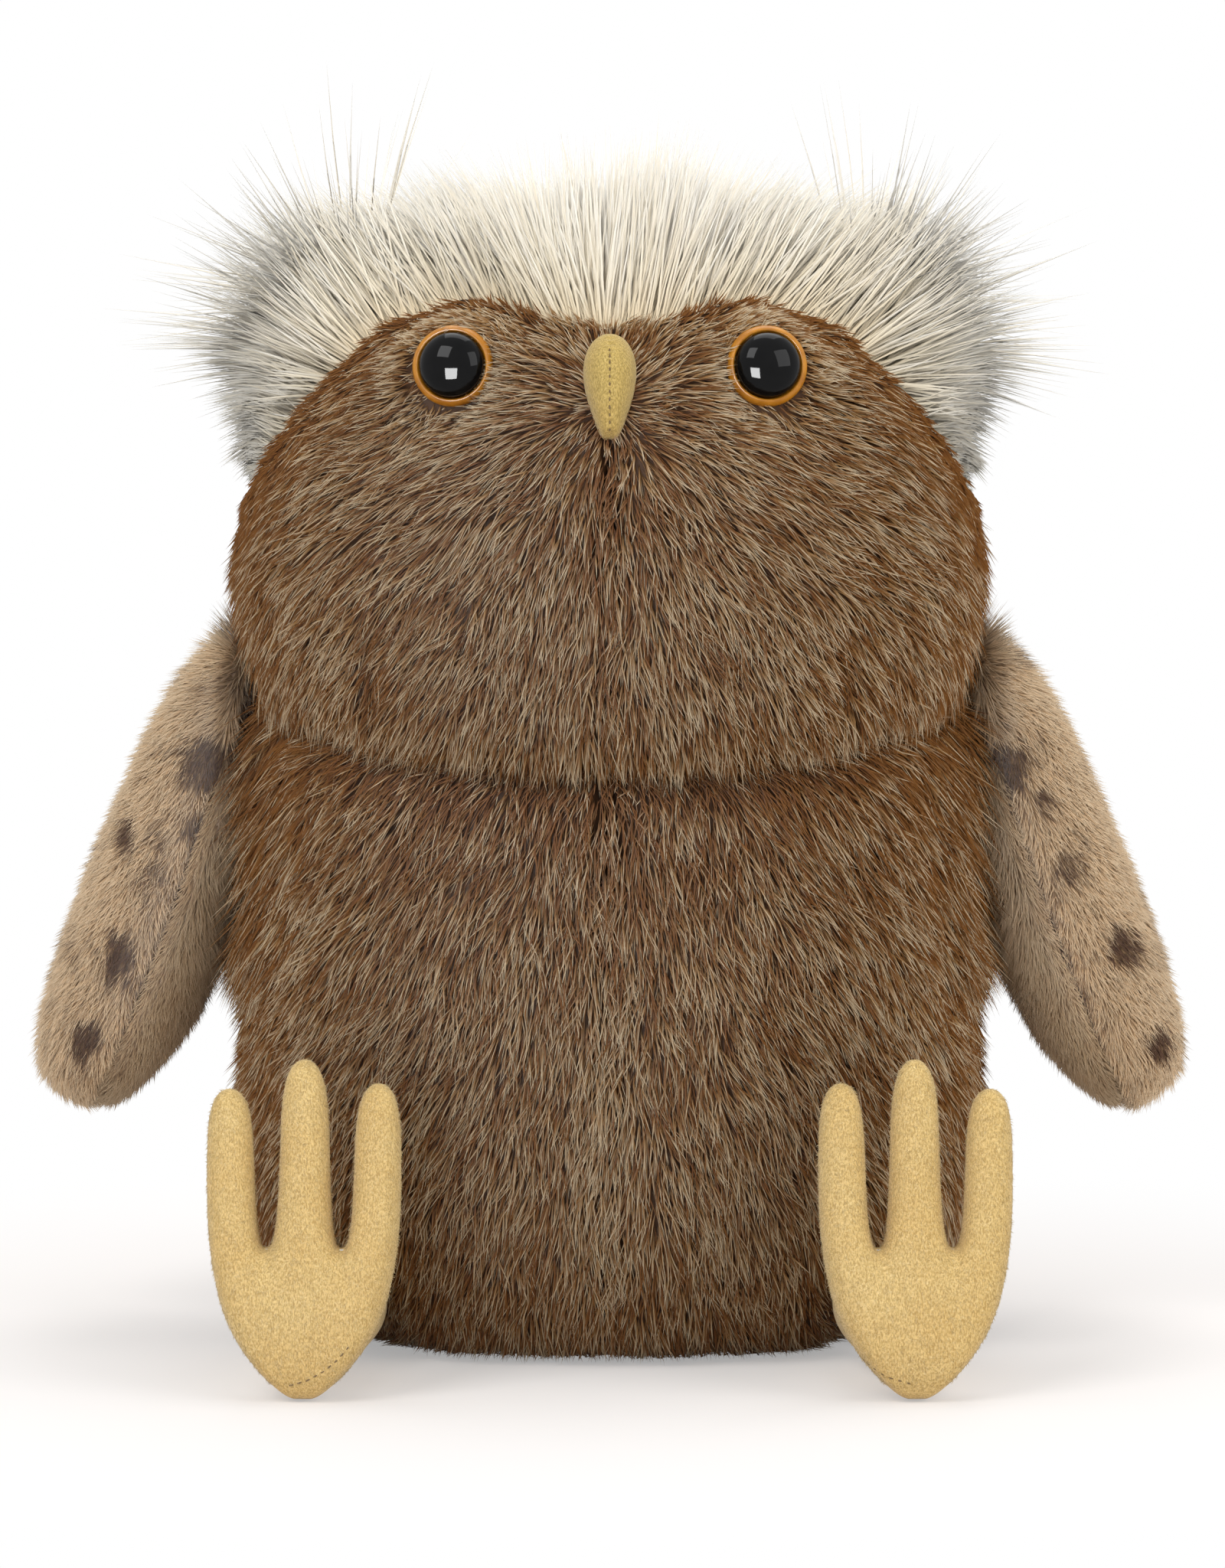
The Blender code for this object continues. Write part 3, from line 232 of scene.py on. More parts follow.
class OwlWingFur(PropertyGroup):
    """Short plush of the wings, spotted outside and plain inside"""

    length: length_of("Pile length", "Length of a hair of the wings' plush", 0.0055)
    width: length_of("Hair width", "Width of a hair at its root", 0.00038)
    density: number_of("Hairs", "Hairs on a square metre of cloth", 3.3e6, 6e6)
    root: colour_of("Root", "Colour at the foot of a hair", "a4835f")
    dark_middle: colour_of("Spot middle", "Colour of a hair in a spot", "472d1d")
    dark_tip: colour_of("Spot tip", "Colour of a spot hair's tip", "664630")
    pale_middle: colour_of("Middle", "Colour of a hair between the spots", "dcb68a")
    pale_tip: colour_of("Tip", "Colour of its tip", "f3dab6")
    plain_root: colour_of("Plain root", "Colour at the foot of an inner panel's hair", "a08260")
    plain_dark_middle: colour_of("Plain dark middle", "Colour of a darker hair of the inner panel", "c4a179")
    plain_dark_tip: colour_of("Plain dark tip", "Colour of its tip", "dabd97")
    plain_pale_middle: colour_of("Plain pale middle", "Colour of a paler hair of the inner panel", "d4b48b")
    plain_pale_tip: colour_of("Plain pale tip", "Colour of its tip", "ecd4b0")


class OwlSuede(PropertyGroup):
    """Yellow suede of the feet, legs and beak"""

    nap_size: length_of("Nap size", "Size of the flecks in the suede", 0.00055)
    deep: colour_of("Deep", "Colour between the fibres", "b5975a")
    colour: colour_of("Colour", "Main colour of the feet", "dabe80")
    pale: colour_of("Pale", "Colour of the brushed fibres", "ecd8a4")
    beak_deep: colour_of("Beak deep", "Colour between the beak's fibres", "97803f")
    beak_colour: colour_of("Beak colour", "Main colour of the beak", "c3a861")
    beak_pale: colour_of("Beak pale", "Colour of the beak's brushed fibres", "d6be7e")
    thread: colour_of("Thread", "Colour of the sewing thread in its holes", "7c5f2c")
    stitch_gap: length_of("Stitch gap", "Distance from one stitch to the next", 0.0018)
    stitch_length: length_of("Stitch length", "Length of a stitch", 0.0010)
    stitch_width: length_of("Stitch width", "Width of a stitch", 0.00042)


class OwlNap(PropertyGroup):
    """Loose fibres that stand off the suede"""

    length: length_of("Fibre length", "Length of a loose fibre", 0.0011)
    width: length_of("Fibre width", "Width of a loose fibre", 0.00016)
    density: number_of("Fibres", "Fibres on a square metre of suede", 2.6e6, 6e6)
    root: colour_of("Root", "Colour at the foot of a fibre", "b4965a")
    dark_middle: colour_of("Dark middle", "Colour of a darker fibre", "b4965a")
    dark_tip: colour_of("Dark tip", "Colour of its tip", "c8ab70")
    pale_middle: colour_of("Pale middle", "Colour of a paler fibre", "e0c68b")
    pale_tip: colour_of("Pale tip", "Colour of its tip", "f3e2b4")


class OwlEyes(PropertyGroup):
    """Amber discs and black domes of the eyes"""

    amber: colour_of("Amber", "Colour of the eye's disc", "bf801f")
    amber_deep: colour_of("Deep amber", "Colour of the disc's darker clouds", "9c600f")
    black: colour_of("Black", "Colour of the dome", "0a0a0b")
    black_deep: colour_of("Deep black", "Colour of the dome's darker clouds", "050506")


class OwlInside(PropertyGroup):
    """Fillings, bean bag, base panel and washers"""

    fibre: colour_of("Fibre", "Colour of the filling", "f0efec")
    fibre_deep: colour_of("Fibre shade", "Colour between the filling's fibres", "cfccc6")
    lining: colour_of("Lining", "Colour of the bean bag's cloth", "ddd5c6")
    lining_deep: colour_of("Lining shade", "Colour between its threads", "bdb3a2")
    base: colour_of("Base", "Colour of the base panel", "7a5233")
    base_deep: colour_of("Base shade", "Colour between the base panel's fibres", "4c2f1a")
    nylon: colour_of("Nylon", "Colour of the eye washers", "ecebe6")
    nylon_deep: colour_of("Nylon shade", "Colour of the washers' darker clouds", "d9d7d0")


class OwlStage(PropertyGroup):
    """Floor, lamps and light of the studio"""

    floor: colour_of("Floor", "Colour of the studio floor", "f2ece8")
    key: number_of("Key lamp", "Power of the main lamp in watts", 17.0, 200.0)
    fill: number_of("Fill lamp", "Power of the side lamp in watts", 10.0, 200.0)
    top: number_of("Top lamp", "Power of the lamp above and behind, in watts", 12.0, 200.0)
    catch: number_of("Catch lamp", "Power of the small lamp that only shines on glossy things, in watts", 12.0, 50.0)
    room: number_of("Room light", "Strength of the light from all round", 0.58, 2.0)


# Soft forms


def ring_points(centre, across, along, reaches, columns, square):
    points = []
    for i in range(columns):
        turn = 2 * math.pi * i / columns
        u = math.copysign(abs(math.cos(turn)) ** (2 / square), math.cos(turn))
        v = math.copysign(abs(math.sin(turn)) ** (2 / square), math.sin(turn))
        grow = 3 / (2 + math.cos(2 * math.pi / columns))
        u_reach, v_reach = reaches[0 if u > 0 else 1] * grow, reaches[2 if v > 0 else 3] * grow
        points.append(centre + across * (u * u_reach) + along * (v * v_reach))
    return points


def smooth_form(name, sections, start, end, columns, square, levels):
    """A closed smooth form through rings, with a pole at each end. Its faces are all quads."""
    bm = bmesh.new()
    loops = []
    for centre, across, along, reaches in sections:
        ring = ring_points(centre, across, along, reaches, columns, square)
        loops.append([bm.verts.new(point) for point in ring])
    first, last = bm.verts.new(start), bm.verts.new(end)
    for i in range(columns):
        j = (i + 1) % columns
        bm.faces.new((first, loops[0][i], loops[0][j]))
        bm.faces.new((last, loops[-1][i], loops[-1][j]))
        for low, high in zip(loops, loops[1:]):
            bm.faces.new((low[i], low[j], high[j], high[i]))
    bmesh.ops.recalc_face_normals(bm, faces=bm.faces)
    mesh = bpy.data.meshes.new(name)
    bm.to_mesh(mesh)
    bm.free()
    obj = new_object(name, mesh)
    surface = obj.modifiers.new("smooth", "SUBSURF")
    surface.levels = surface.render_levels = levels
    return settled(obj)


def bag_form(name, size, rings, base, bottom, top, turned, levels):
    """The trunk or head from its table."""
    sections = []
    for height, width, front, back in rings:
        lean = float(ease(height, *size["lean"]))
        lean = math.tan(NECK_TILT) * (1 - lean if turned else lean)
        side = size["half"] * width
        reaches = (side, side, size["back"] * back, size["front"] * front)
        centre = Vector((0, 0, base + size["height"] * height))
        sections.append((centre, Vector((1, 0, 0)), Vector((0, 1, lean)), reaches))
    return smooth_form(name, sections, Vector((0, 0, bottom)), Vector((0, 0, top)), 12, size["square"], levels)


def trunk_form(levels):
    return bag_form("trunk", TRUNK, TRUNK_RINGS, 0, -FLOOR_SINK, NECK_HEIGHT * TRUNK_TOP, False, levels)


def head_form(levels):
    top = NECK_HEIGHT + HEAD["height"]
    return bag_form("head", HEAD, HEAD_RINGS, NECK_HEIGHT, NECK_HEIGHT + HEAD["height"] * HEAD_BOTTOM, top, True,
        levels)


def brow_height(x):
    """Height of the brow seam at a place across the face."""
    outs, heights = [0.0], [BROW_DIP]
    for outward, rise in reversed(BROW_FALL):
        outs.append(BROW_OUT * outward)
        heights.append(BROW_DIP + (BROW_PEAK - BROW_DIP) * rise)
    outs.append(BROW_OUT)
    heights.append(BROW_PEAK)
    for inward, rise in reversed(BROW_RISE):
        outs.append(HEAD["half"] - (HEAD["half"] - BROW_OUT) * inward)
        heights.append(BROW_SIDE + (BROW_PEAK - BROW_SIDE) * rise)
    outs.append(HEAD["half"])
    heights.append(BROW_SIDE)
    return np.interp(np.abs(x), outs, heights)


def above_neck(points):
    """Height over the tilted neck seam."""
    tilt = np.array((0, -math.sin(NECK_TILT), math.cos(NECK_TILT)))
    return (points - np.array((0, 0, NECK_HEIGHT))) @ tilt


def above_brow(points):
    """Height over the seam round the mane: the brow seam in front and the nape seam behind."""
    nape = BROW_SIDE - (points[:, 1] - SIDE_SEAM_Y) * math.tan(NAPE_SLOPE)
    return points[:, 2] - np.where(points[:, 1] < SIDE_SEAM_Y, brow_height(points[:, 0]) + BROW_LAP, nape)


def filled_by_cloth(obj, pressure, shrink, cap):
    """Swells a form against its own cloth, as stuffing does. No point ends further than cap from its place."""
    scene = bpy.context.scene
    rest = vertex_array(obj.data)
    obj.data.vertices.foreach_set("co", (rest - normal_array(obj.data) * shrink).ravel())
    obj.data.update()
    cloth = obj.modifiers.new("cloth", "CLOTH")
    values = cloth.settings
    values.quality = 8
    values.mass = 0.15
    values.tension_stiffness = values.compression_stiffness = 25
    values.shear_stiffness = 10
    values.bending_stiffness = 0.6
    values.use_pressure = True
    values.uniform_pressure_force = pressure
    values.effector_weights.gravity = 0
    cloth.point_cache.frame_start, cloth.point_cache.frame_end = 1, 20
    for step in range(1, 21):
        scene.frame_set(step)
    settled(obj)
    moved = vertex_array(obj.data) - rest
    far = np.linalg.norm(moved, axis=1, keepdims=True)
    moved *= np.minimum(1.0, cap / np.maximum(far, 1e-9))
    obj.data.vertices.foreach_set("co", (rest + moved).ravel())
    obj.data.update()
    scene.frame_set(1)
    return obj


def patch(form, keep, name, sink, shape=None):
    """The kept faces of a form, sunk below its surface, as an open skin."""
    points, normals, quads = vertex_array(form.data), normal_array(form.data), quad_array(form.data)
    faces = quads[keep(points[quads].mean(axis=1))]
    used, places = np.unique(faces, return_inverse=True)
    rest, normals = points[used], normals[used]
    moved = rest - normals * sink
    if shape is not None:
        moved = shape(rest, moved, normals)
    obj = new_object(name, mesh_of(name, moved, places.reshape(-1, 4)))
    return obj, rest, normals


def backed(obj, thickness):
    """Gives an open skin its cloth's thickness, inwards, which closes it."""
    wall = obj.modifiers.new("cloth", "SOLIDIFY")
    wall.thickness = thickness
    wall.offset = -1
    return settled(obj)


# Node trees


class Tree:
    """Adds nodes to a node tree and links them."""

    def __init__(self, tree):
        self.tree = tree

    def add(self, kind, values=None, **settings):
        node = self.tree.nodes.new(kind)
        for key, value in settings.items():
            setattr(node, key, value)
        for key, value in (values or {}).items():
            self.put(value, node.inputs[key])
        return node

    def put(self, value, socket):
        if isinstance(value, bpy.types.NodeSocket):
            self.tree.links.new(value, socket)
        else:
            socket.default_value = value

    def math(self, operation, *values, clamp=False):
        node = self.add("ShaderNodeMath", dict(enumerate(values)), operation=operation, use_clamp=clamp)
        return node.outputs[0]

    def vector(self, operation, *values):
        node = self.add("ShaderNodeVectorMath", dict(enumerate(values)), operation=operation)
        return node.outputs["Value" if operation in ("DOT_PRODUCT", "LENGTH", "DISTANCE") else "Vector"]

    def scaled(self, vector, factor):
        node = self.add("ShaderNodeVectorMath", {0: vector, "Scale": factor}, operation="SCALE")
        return node.outputs["Vector"]

    def summed(self, *vectors):
        total = vectors[0]
        for vector in vectors[1:]:
            total = self.vector("ADD", total, vector)
        return total

    def attribute(self, name, kind="FLOAT"):
        return self.add("GeometryNodeInputNamedAttribute", {"Name": name}, data_type=kind).outputs["Attribute"]

    def stored(self, geometry, name, kind, value, domain="POINT"):
        node = self.add(
            "GeometryNodeStoreNamedAttribute",
            {"Geometry": geometry, "Name": name, "Value": value},
            data_type=kind,
            domain=domain,
        )
        return node.outputs["Geometry"]

    def random(self, low, high, seed, kind="FLOAT"):
        node = self.add("FunctionNodeRandomValue", data_type=kind)
        sockets = [socket for socket in node.inputs if socket.enabled]
        for value, socket in zip((low, high, None, seed), sockets):
            if value is not None:
                self.put(value, socket)
        return [socket for socket in node.outputs if socket.enabled][0]

    def ramp(self, factor, stops, interpolation="LINEAR"):
        node = self.add("ShaderNodeValToRGB", {"Fac": factor})
        bar = node.color_ramp
        bar.interpolation = interpolation
        while len(bar.elements) < len(stops):
            bar.elements.new(0.5)
        for element, (place, colour) in zip(bar.elements, sorted(stops, key=lambda stop: stop[0])):
            element.position = place
            element.color = (*colour, 1.0)
        return node.outputs["Color"]

    def mixed(self, factor, first, second, blend="MIX"):
        node = self.add("ShaderNodeMix", data_type="RGBA", blend_type=blend)
        for value, socket in zip((factor, first, second), [s for s in node.inputs if s.enabled]):
            self.put(value, socket)
        return [socket for socket in node.outputs if socket.enabled][0]


def sockets_of(tree, sockets):
    """Gives a node tree its named inputs and returns their identifiers by name."""
    made = {}
    for name, kind, default in sockets:
        socket = tree.interface.new_socket(name=name, in_out="INPUT", socket_type=kind)
        if default is not None:
            socket.default_value = default
        made[name] = socket.identifier
    return made


FUR_INPUTS = (
    ("Geometry", "NodeSocketGeometry", None),
    ("Strand", "NodeSocketObject", None),
    ("Backing", "NodeSocketObject", None),
    ("Density", "NodeSocketFloat", 1.0e6),
    ("Length", "NodeSocketFloat", 0.011),
    ("Length Spread", "NodeSocketFloat", 0.25),
    ("Width", "NodeSocketFloat", 0.0005),
    ("Rise", "NodeSocketFloat", 0.5),
    ("Scatter", "NodeSocketFloat", 0.15),
    ("Wave", "NodeSocketFloat", 0.3),
    ("Wave Size", "NodeSocketFloat", 0.02),
    ("Bend", "NodeSocketFloat", 0.3),
    ("Lock Size", "NodeSocketFloat", 0.004),
    ("Lock Pull", "NodeSocketFloat", 0.5),
    ("Tuft Size", "NodeSocketFloat", 0.012),
    ("Tuft Pull", "NodeSocketFloat", 0.2),
    ("Tone Size", "NodeSocketFloat", 0.006),
    ("Tone Patches", "NodeSocketFloat", 0.5),
    ("Tone Spread", "NodeSocketFloat", 0.4),
    ("Skin Light", "NodeSocketFloat", 0.6),
    ("Seed", "NodeSocketInt", 1),
    ("Material", "NodeSocketMaterial", None),
)


def fur_tree():
    """Grows strands on a skin that has the attributes comb, facing, pile, thick and tone."""
    tree = bpy.data.node_groups.new("fur", "GeometryNodeTree")
    tree.is_modifier = True
    names = sockets_of(tree, FUR_INPUTS)
    tree.interface.new_socket(name="Geometry", in_out="OUTPUT", socket_type="NodeSocketGeometry")
    t = Tree(tree)
    inputs = t.add("NodeGroupInput").outputs
    seed = inputs["Seed"]
    pile, tone = t.attribute("pile"), t.attribute("tone")
    comb = t.attribute("comb", "FLOAT_VECTOR")
    spread = t.add(
        "GeometryNodeDistributePointsOnFaces",
        {"Mesh": inputs["Geometry"], "Seed": seed, "Density": t.math("MULTIPLY", inputs["Density"],
        t.attribute("thick"))},
        distribute_method="RANDOM",
    )
    normal = spread.outputs["Normal"]
    place = t.add("GeometryNodeInputPosition").outputs[0]

    wave = t.add("ShaderNodeTexNoise", {
        "Vector": place, "Scale": t.math("DIVIDE", 1.0, inputs["Wave Size"]), "Detail": 2.0,
        "W": t.math("MULTIPLY", seed, 3.7),
    }, noise_dimensions="4D").outputs["Color"]
    wave = t.scaled(t.vector("SUBTRACT", wave, (0.5, 0.5, 0.5)), t.math("MULTIPLY", inputs["Wave"], 3.0))
    stray = t.scaled(t.random((-1, -1, -1), (1, 1, 1), seed, "FLOAT_VECTOR"), inputs["Scatter"])
    flat = t.math("SUBTRACT", 1.0, inputs["Rise"])
    way = t.summed(t.scaled(normal, inputs["Rise"]), t.scaled(comb, flat), wave, stray)
    outward = t.math("MAXIMUM", t.vector("DOT_PRODUCT", way, normal), 0.06)
    way = t.vector("SUBTRACT", way, t.scaled(normal, t.vector("DOT_PRODUCT", way, normal)))
    way = t.vector("NORMALIZE", t.vector("ADD", way, t.scaled(normal, outward)))

    length = t.math("MULTIPLY", inputs["Length"], pile)
    short = t.math("SUBTRACT", 1.0, inputs["Length Spread"])
    length = t.math("MULTIPLY", length, t.random(short, 1.0, t.math("ADD", seed, 1)))
    sag = t.scaled(t.vector("SUBTRACT", t.scaled(comb, 0.7), t.scaled(normal, 0.55)), inputs["Bend"])
    sag = t.scaled(sag, length)

    def pull(size, strength, offset):
        cell = t.add("ShaderNodeTexVoronoi", {"Vector": place, "Scale": t.math("DIVIDE", 1.0, size)},
            feature="F1").outputs["Position"]
        shift = t.vector("SUBTRACT", cell, place)
        shift = t.vector("SUBTRACT", shift, t.scaled(normal, t.vector("DOT_PRODUCT", shift, normal)))
        return t.scaled(shift, t.math("MULTIPLY", strength, t.random(0.45, 1.1, t.math("ADD", seed, offset))))

    pulled = t.summed(pull(inputs["Lock Size"], inputs["Lock Pull"], 2),
        pull(inputs["Tuft Size"], inputs["Tuft Pull"], 3))
    patches = t.add("ShaderNodeTexNoise", {
        "Vector": place, "Scale": t.math("DIVIDE", 1.0, inputs["Tone Size"]), "Detail": 2.0,
        "W": t.math("MULTIPLY", seed, 5.3),
    }, noise_dimensions="4D").outputs["Fac"]
    patches = t.math("MULTIPLY", t.math("MULTIPLY", t.math("SUBTRACT", patches, 0.5), 2.6), inputs["Tone Patches"])
    own = t.math("MULTIPLY", t.random(-0.5, 0.5, t.math("ADD", seed, 4)), inputs["Tone Spread"])
    tone = t.math("ADD", t.math("ADD", tone, patches), own, clamp=True)

    points = t.stored(spread.outputs["Points"], "sag", "FLOAT_VECTOR", sag)
    points = t.stored(points, "pulled", "FLOAT_VECTOR", pulled)
    points = t.stored(points, "shade", "FLOAT", tone)
    strand = t.add("GeometryNodeObjectInfo", {"Object": inputs["Strand"]}).outputs["Geometry"]
    turn = t.add("FunctionNodeAxesToRotation", {"Primary Axis": way, "Secondary Axis": normal}, primary_axis="Z",
        secondary_axis="X")
    width = t.math("MULTIPLY", inputs["Width"], t.random(0.7, 1.25, t.math("ADD", seed, 5)))
    scale = t.add("ShaderNodeCombineXYZ", {"X": width, "Y": width, "Z": length}).outputs[0]
    placed = t.add("GeometryNodeInstanceOnPoints", {
        "Points": points, "Instance": strand, "Rotation": turn.outputs[0], "Scale": scale,
    }).outputs["Instances"]
    fur = t.add("GeometryNodeRealizeInstances", {"Geometry": placed}).outputs["Geometry"]

    along = t.attribute("along")
    shift = t.vector(
        "ADD",
        t.scaled(t.attribute("sag", "FLOAT_VECTOR"), t.math("MULTIPLY", along, along)),
        t.scaled(t.attribute("pulled", "FLOAT_VECTOR"), t.math("POWER", along, 1.4)),
    )
    fur = t.add("GeometryNodeSetPosition", {"Geometry": fur, "Offset": shift}).outputs["Geometry"]
    parts = t.add("ShaderNodeSeparateXYZ", {0: t.add("GeometryNodeInputPosition").outputs[0]}).outputs
    on_floor = t.add("ShaderNodeCombineXYZ", {"X": parts["X"], "Y": parts["Y"],
        "Z": t.math("MAXIMUM", parts["Z"], 0.0003)}).outputs[0]
    fur = t.add("GeometryNodeSetPosition", {"Geometry": fur, "Position": on_floor}).outputs["Geometry"]
    u = t.math("MULTIPLY_ADD", t.attribute("shade"), 0.98, t.math("MULTIPLY_ADD", t.attribute("across"), 0.008, 0.01))
    chart = t.add("ShaderNodeCombineXYZ", {"X": u, "Y": t.math("MULTIPLY_ADD", along, 0.98, 0.01)}).outputs[0]
    fur = t.stored(fur, "OFBake", "FLOAT2", chart, "CORNER")
    own = t.scaled(t.add("GeometryNodeInputNormal").outputs[0], t.math("SUBTRACT", 1.0, inputs["Skin Light"]))
    lit = t.vector("NORMALIZE", t.vector("ADD", own, t.scaled(t.attribute("facing", "FLOAT_VECTOR"),
        inputs["Skin Light"])))
    facing = t.add("GeometryNodeSetMeshNormal", mode="FREE", domain="POINT")
    t.put(fur, facing.inputs["Mesh"])
    t.put(lit, facing.inputs["Custom Normal"])
    fur = facing.outputs["Mesh"]
    backing = t.add("GeometryNodeObjectInfo", {"Object": inputs["Backing"]}).outputs["Geometry"]
    joined = t.add("GeometryNodeJoinGeometry")
    tree.links.new(fur, joined.inputs[0])
    tree.links.new(backing, joined.inputs[0])
    smooth = t.add("GeometryNodeSetShadeSmooth", {"Geometry": joined.outputs[0]}).outputs[0]
    done = t.add("GeometryNodeSetMaterial", {"Geometry": smooth, "Material": inputs["Material"]}).outputs[0]
    t.add("NodeGroupOutput", {"Geometry": done})
    return tree, names


def strand(name, rings, base=None):
    """One strand 1 m long and 1 m across, up z, from rings of (height, radius). Closed, three sided."""
    points, faces, count = [], [], len(rings)
    for k, (height, radius) in enumerate(rings):
        for i in range(3):
            turn = 2 * math.pi * i / 3
            points.append((radius * math.cos(turn), radius * math.sin(turn), height))
    points.append((0, 0, 1))
    tip = len(points) - 1
    for k in range(count - 1):
        for i in range(3):
            j = (i + 1) % 3
            faces.append((3 * k + i, 3 * k + j, 3 * k + 3 + j, 3 * k + 3 + i))
    for i in range(3):
        faces.append((3 * (count - 1) + i, 3 * (count - 1) + (i + 1) % 3, tip))
    if base is None:
        faces.append((2, 1, 0))
    else:
        points.append((0, 0, base))
        for i in range(3):
            faces.append(((i + 1) % 3, i, len(points) - 1))
    mesh = mesh_of(name, points, faces)
    put_attribute(mesh, "along", "FLOAT", [max(0.0, p[2]) for p in points])
    put_attribute(mesh, "across", "FLOAT", [math.copysign(1, p[0]) if abs(p[0]) > 0.001 else 0 for p in points])
    obj = new_object(name, mesh)
    obj.hide_render = True
    return obj


FUR = None


def grown(skin, backing, shoot, material, **values):
    """Grows fur on a skin with the fur tree, joins its backing, and settles it into one mesh."""
    global FUR
    if FUR is None:
        FUR = fur_tree()
    tree, names = FUR
    modifier = skin.modifiers.new("fur", "NODES")
    modifier.node_group = tree
    modifier[names["Strand"]] = shoot
    modifier[names["Backing"]] = backing
    modifier[names["Material"]] = material
    for key, value in values.items():
        modifier[names[key.replace("_", " ").title()]] = value
    settled(skin)
    for name in ("comb", "pile", "thick", "tone", "sag", "pulled", "shade", "facing", "along", "across"):
        attribute = skin.data.attributes.get(name)
        if attribute is not None:
            skin.data.attributes.remove(attribute)
    drop(backing)
    return skin


def chart_backing(obj, shade):
    """Gives a backing its place on the fur's colour chart: near the roots."""
    mesh = obj.data
    layer = mesh.uv_layers.new(name="OFBake")
    corners = np.empty(len(mesh.loops), int)
    mesh.loops.foreach_get("vertex_index", corners)
    points = vertex_array(mesh)
    u = np.clip(shade + 0.18 * np.sin(points @ (310, 170, 230)) + 0.12 * np.cos(points @ (-90, 420, 350)), 0.02, 0.98)
    v = 0.03 + 0.02 * np.sin(points @ (500, -300, 410))
    layer.data.foreach_set("uv", np.stack((u, v), axis=1)[corners].astype(np.float32).ravel())


STITCH_INPUTS = (
    ("Geometry", "NodeSocketGeometry", None),
    ("Stitch", "NodeSocketObject", None),
    ("Gap", "NodeSocketFloat", 0.0023),
    ("Length", "NodeSocketFloat", 0.0012),
    ("Width", "NodeSocketFloat", 0.00045),
    ("Seed", "NodeSocketInt", 1),
    ("Material", "NodeSocketMaterial", None),
)


def stitch_tree():
    """Lays stitches end to end along a line that knows which way is out of the cloth."""
    tree = bpy.data.node_groups.new("stitch_row", "GeometryNodeTree")
    tree.is_modifier = True
    names = sockets_of(tree, STITCH_INPUTS)
    tree.interface.new_socket(name="Geometry", in_out="OUTPUT", socket_type="NodeSocketGeometry")
    t = Tree(tree)
    inputs = t.add("NodeGroupInput").outputs
    line = t.add("GeometryNodeMeshToCurve", {"Mesh": inputs["Geometry"]}).outputs[0]
    row = t.add("GeometryNodeCurveToPoints", {"Curve": line, "Length": inputs["Gap"]}, mode="LENGTH")
    turn = t.add(
        "FunctionNodeAxesToRotation",
        {"Primary Axis": t.attribute("out", "FLOAT_VECTOR"), "Secondary Axis": row.outputs["Tangent"]},
        primary_axis="Z", secondary_axis="X",
    )
    size = t.random(0.8, 1.15, inputs["Seed"])
    scale = t.add("ShaderNodeCombineXYZ", {
        "X": t.math("MULTIPLY", inputs["Length"], size), "Y": inputs["Width"], "Z": inputs["Width"],
    }).outputs[0]
    stitch = t.add("GeometryNodeObjectInfo", {"Object": inputs["Stitch"]}).outputs["Geometry"]
    placed = t.add("GeometryNodeInstanceOnPoints", {
        "Points": row.outputs["Points"], "Instance": stitch, "Rotation": turn.outputs[0], "Scale": scale,
    }).outputs["Instances"]
    plain = t.add("GeometryNodeRealizeInstances", {"Geometry": placed}).outputs["Geometry"]
    done = t.add("GeometryNodeSetMaterial", {"Geometry": plain, "Material": inputs["Material"]}).outputs[0]
    t.add("NodeGroupOutput", {"Geometry": done})
    return tree, names


STITCHES = None


def surface_line(obj, ways, spacing=0.0004, lift=0.0):
    """Points and outward ways on a piece's front, under a line given across (x) and up (z)."""
    tree = BVHTree.FromPolygons([v.co for v in obj.data.vertices], [tuple(f.vertices) for f in obj.data.polygons])
    points, outs = [], []
    for (x0, z0), (x1, z1) in zip(ways, ways[1:]):
        count = max(2, int(math.hypot(x1 - x0, z1 - z0) / spacing))
        for i in range(count):
            x, z = x0 + (x1 - x0) * i / count, z0 + (z1 - z0) * i / count
            hit, normal, _, _ = tree.ray_cast(Vector((x, -1, z)), Vector((0, 1, 0)))
            if hit is not None:
                points.append(hit + normal * lift)
                outs.append(normal)
    if len(points) < 3:
        raise RuntimeError("A stitch line misses its piece")
    return points, outs


def stitched(settings, name, body, points, outs, material, seed):
    """A row of stitches as a piece of its own."""
    global STITCHES
    STITCHES = STITCHES or stitch_tree()
    tree, names = STITCHES
    mesh = bpy.data.meshes.new(name)
    mesh.from_pydata([tuple(p) for p in points], [(i, i + 1) for i in range(len(points) - 1)], [])
    put_attribute(mesh, "out", "FLOAT_VECTOR", [tuple(n) for n in outs])
    row = new_object(name, mesh)
    arc = [math.radians(90 - 45 * k) for k in range(5)]
    bead = lathe(name + "_bead", [(max(0.0, 0.5 * math.cos(a)), 0.5 * math.sin(a)) for a in arc], 6)
    bead.data.transform(Matrix.Rotation(math.pi / 2, 4, "Y"))
    bead.hide_render = True
    modifier = row.modifiers.new("stitches", "NODES")
    modifier.node_group = tree
    for key, value in (
        ("Stitch", bead), ("Gap", settings.stitch_gap), ("Length", settings.stitch_length),
        ("Width", settings.stitch_width),
        ("Seed", seed), ("Material", material),
    ):
        modifier[names[key]] = value
    settled(row)
    row.data.shade_smooth()
    for key in ("out",):
        if row.data.attributes.get(key) is not None:
            row.data.attributes.remove(row.data.attributes[key])
    drop(bead)
    return finish_piece(row, name, body)


# Materials


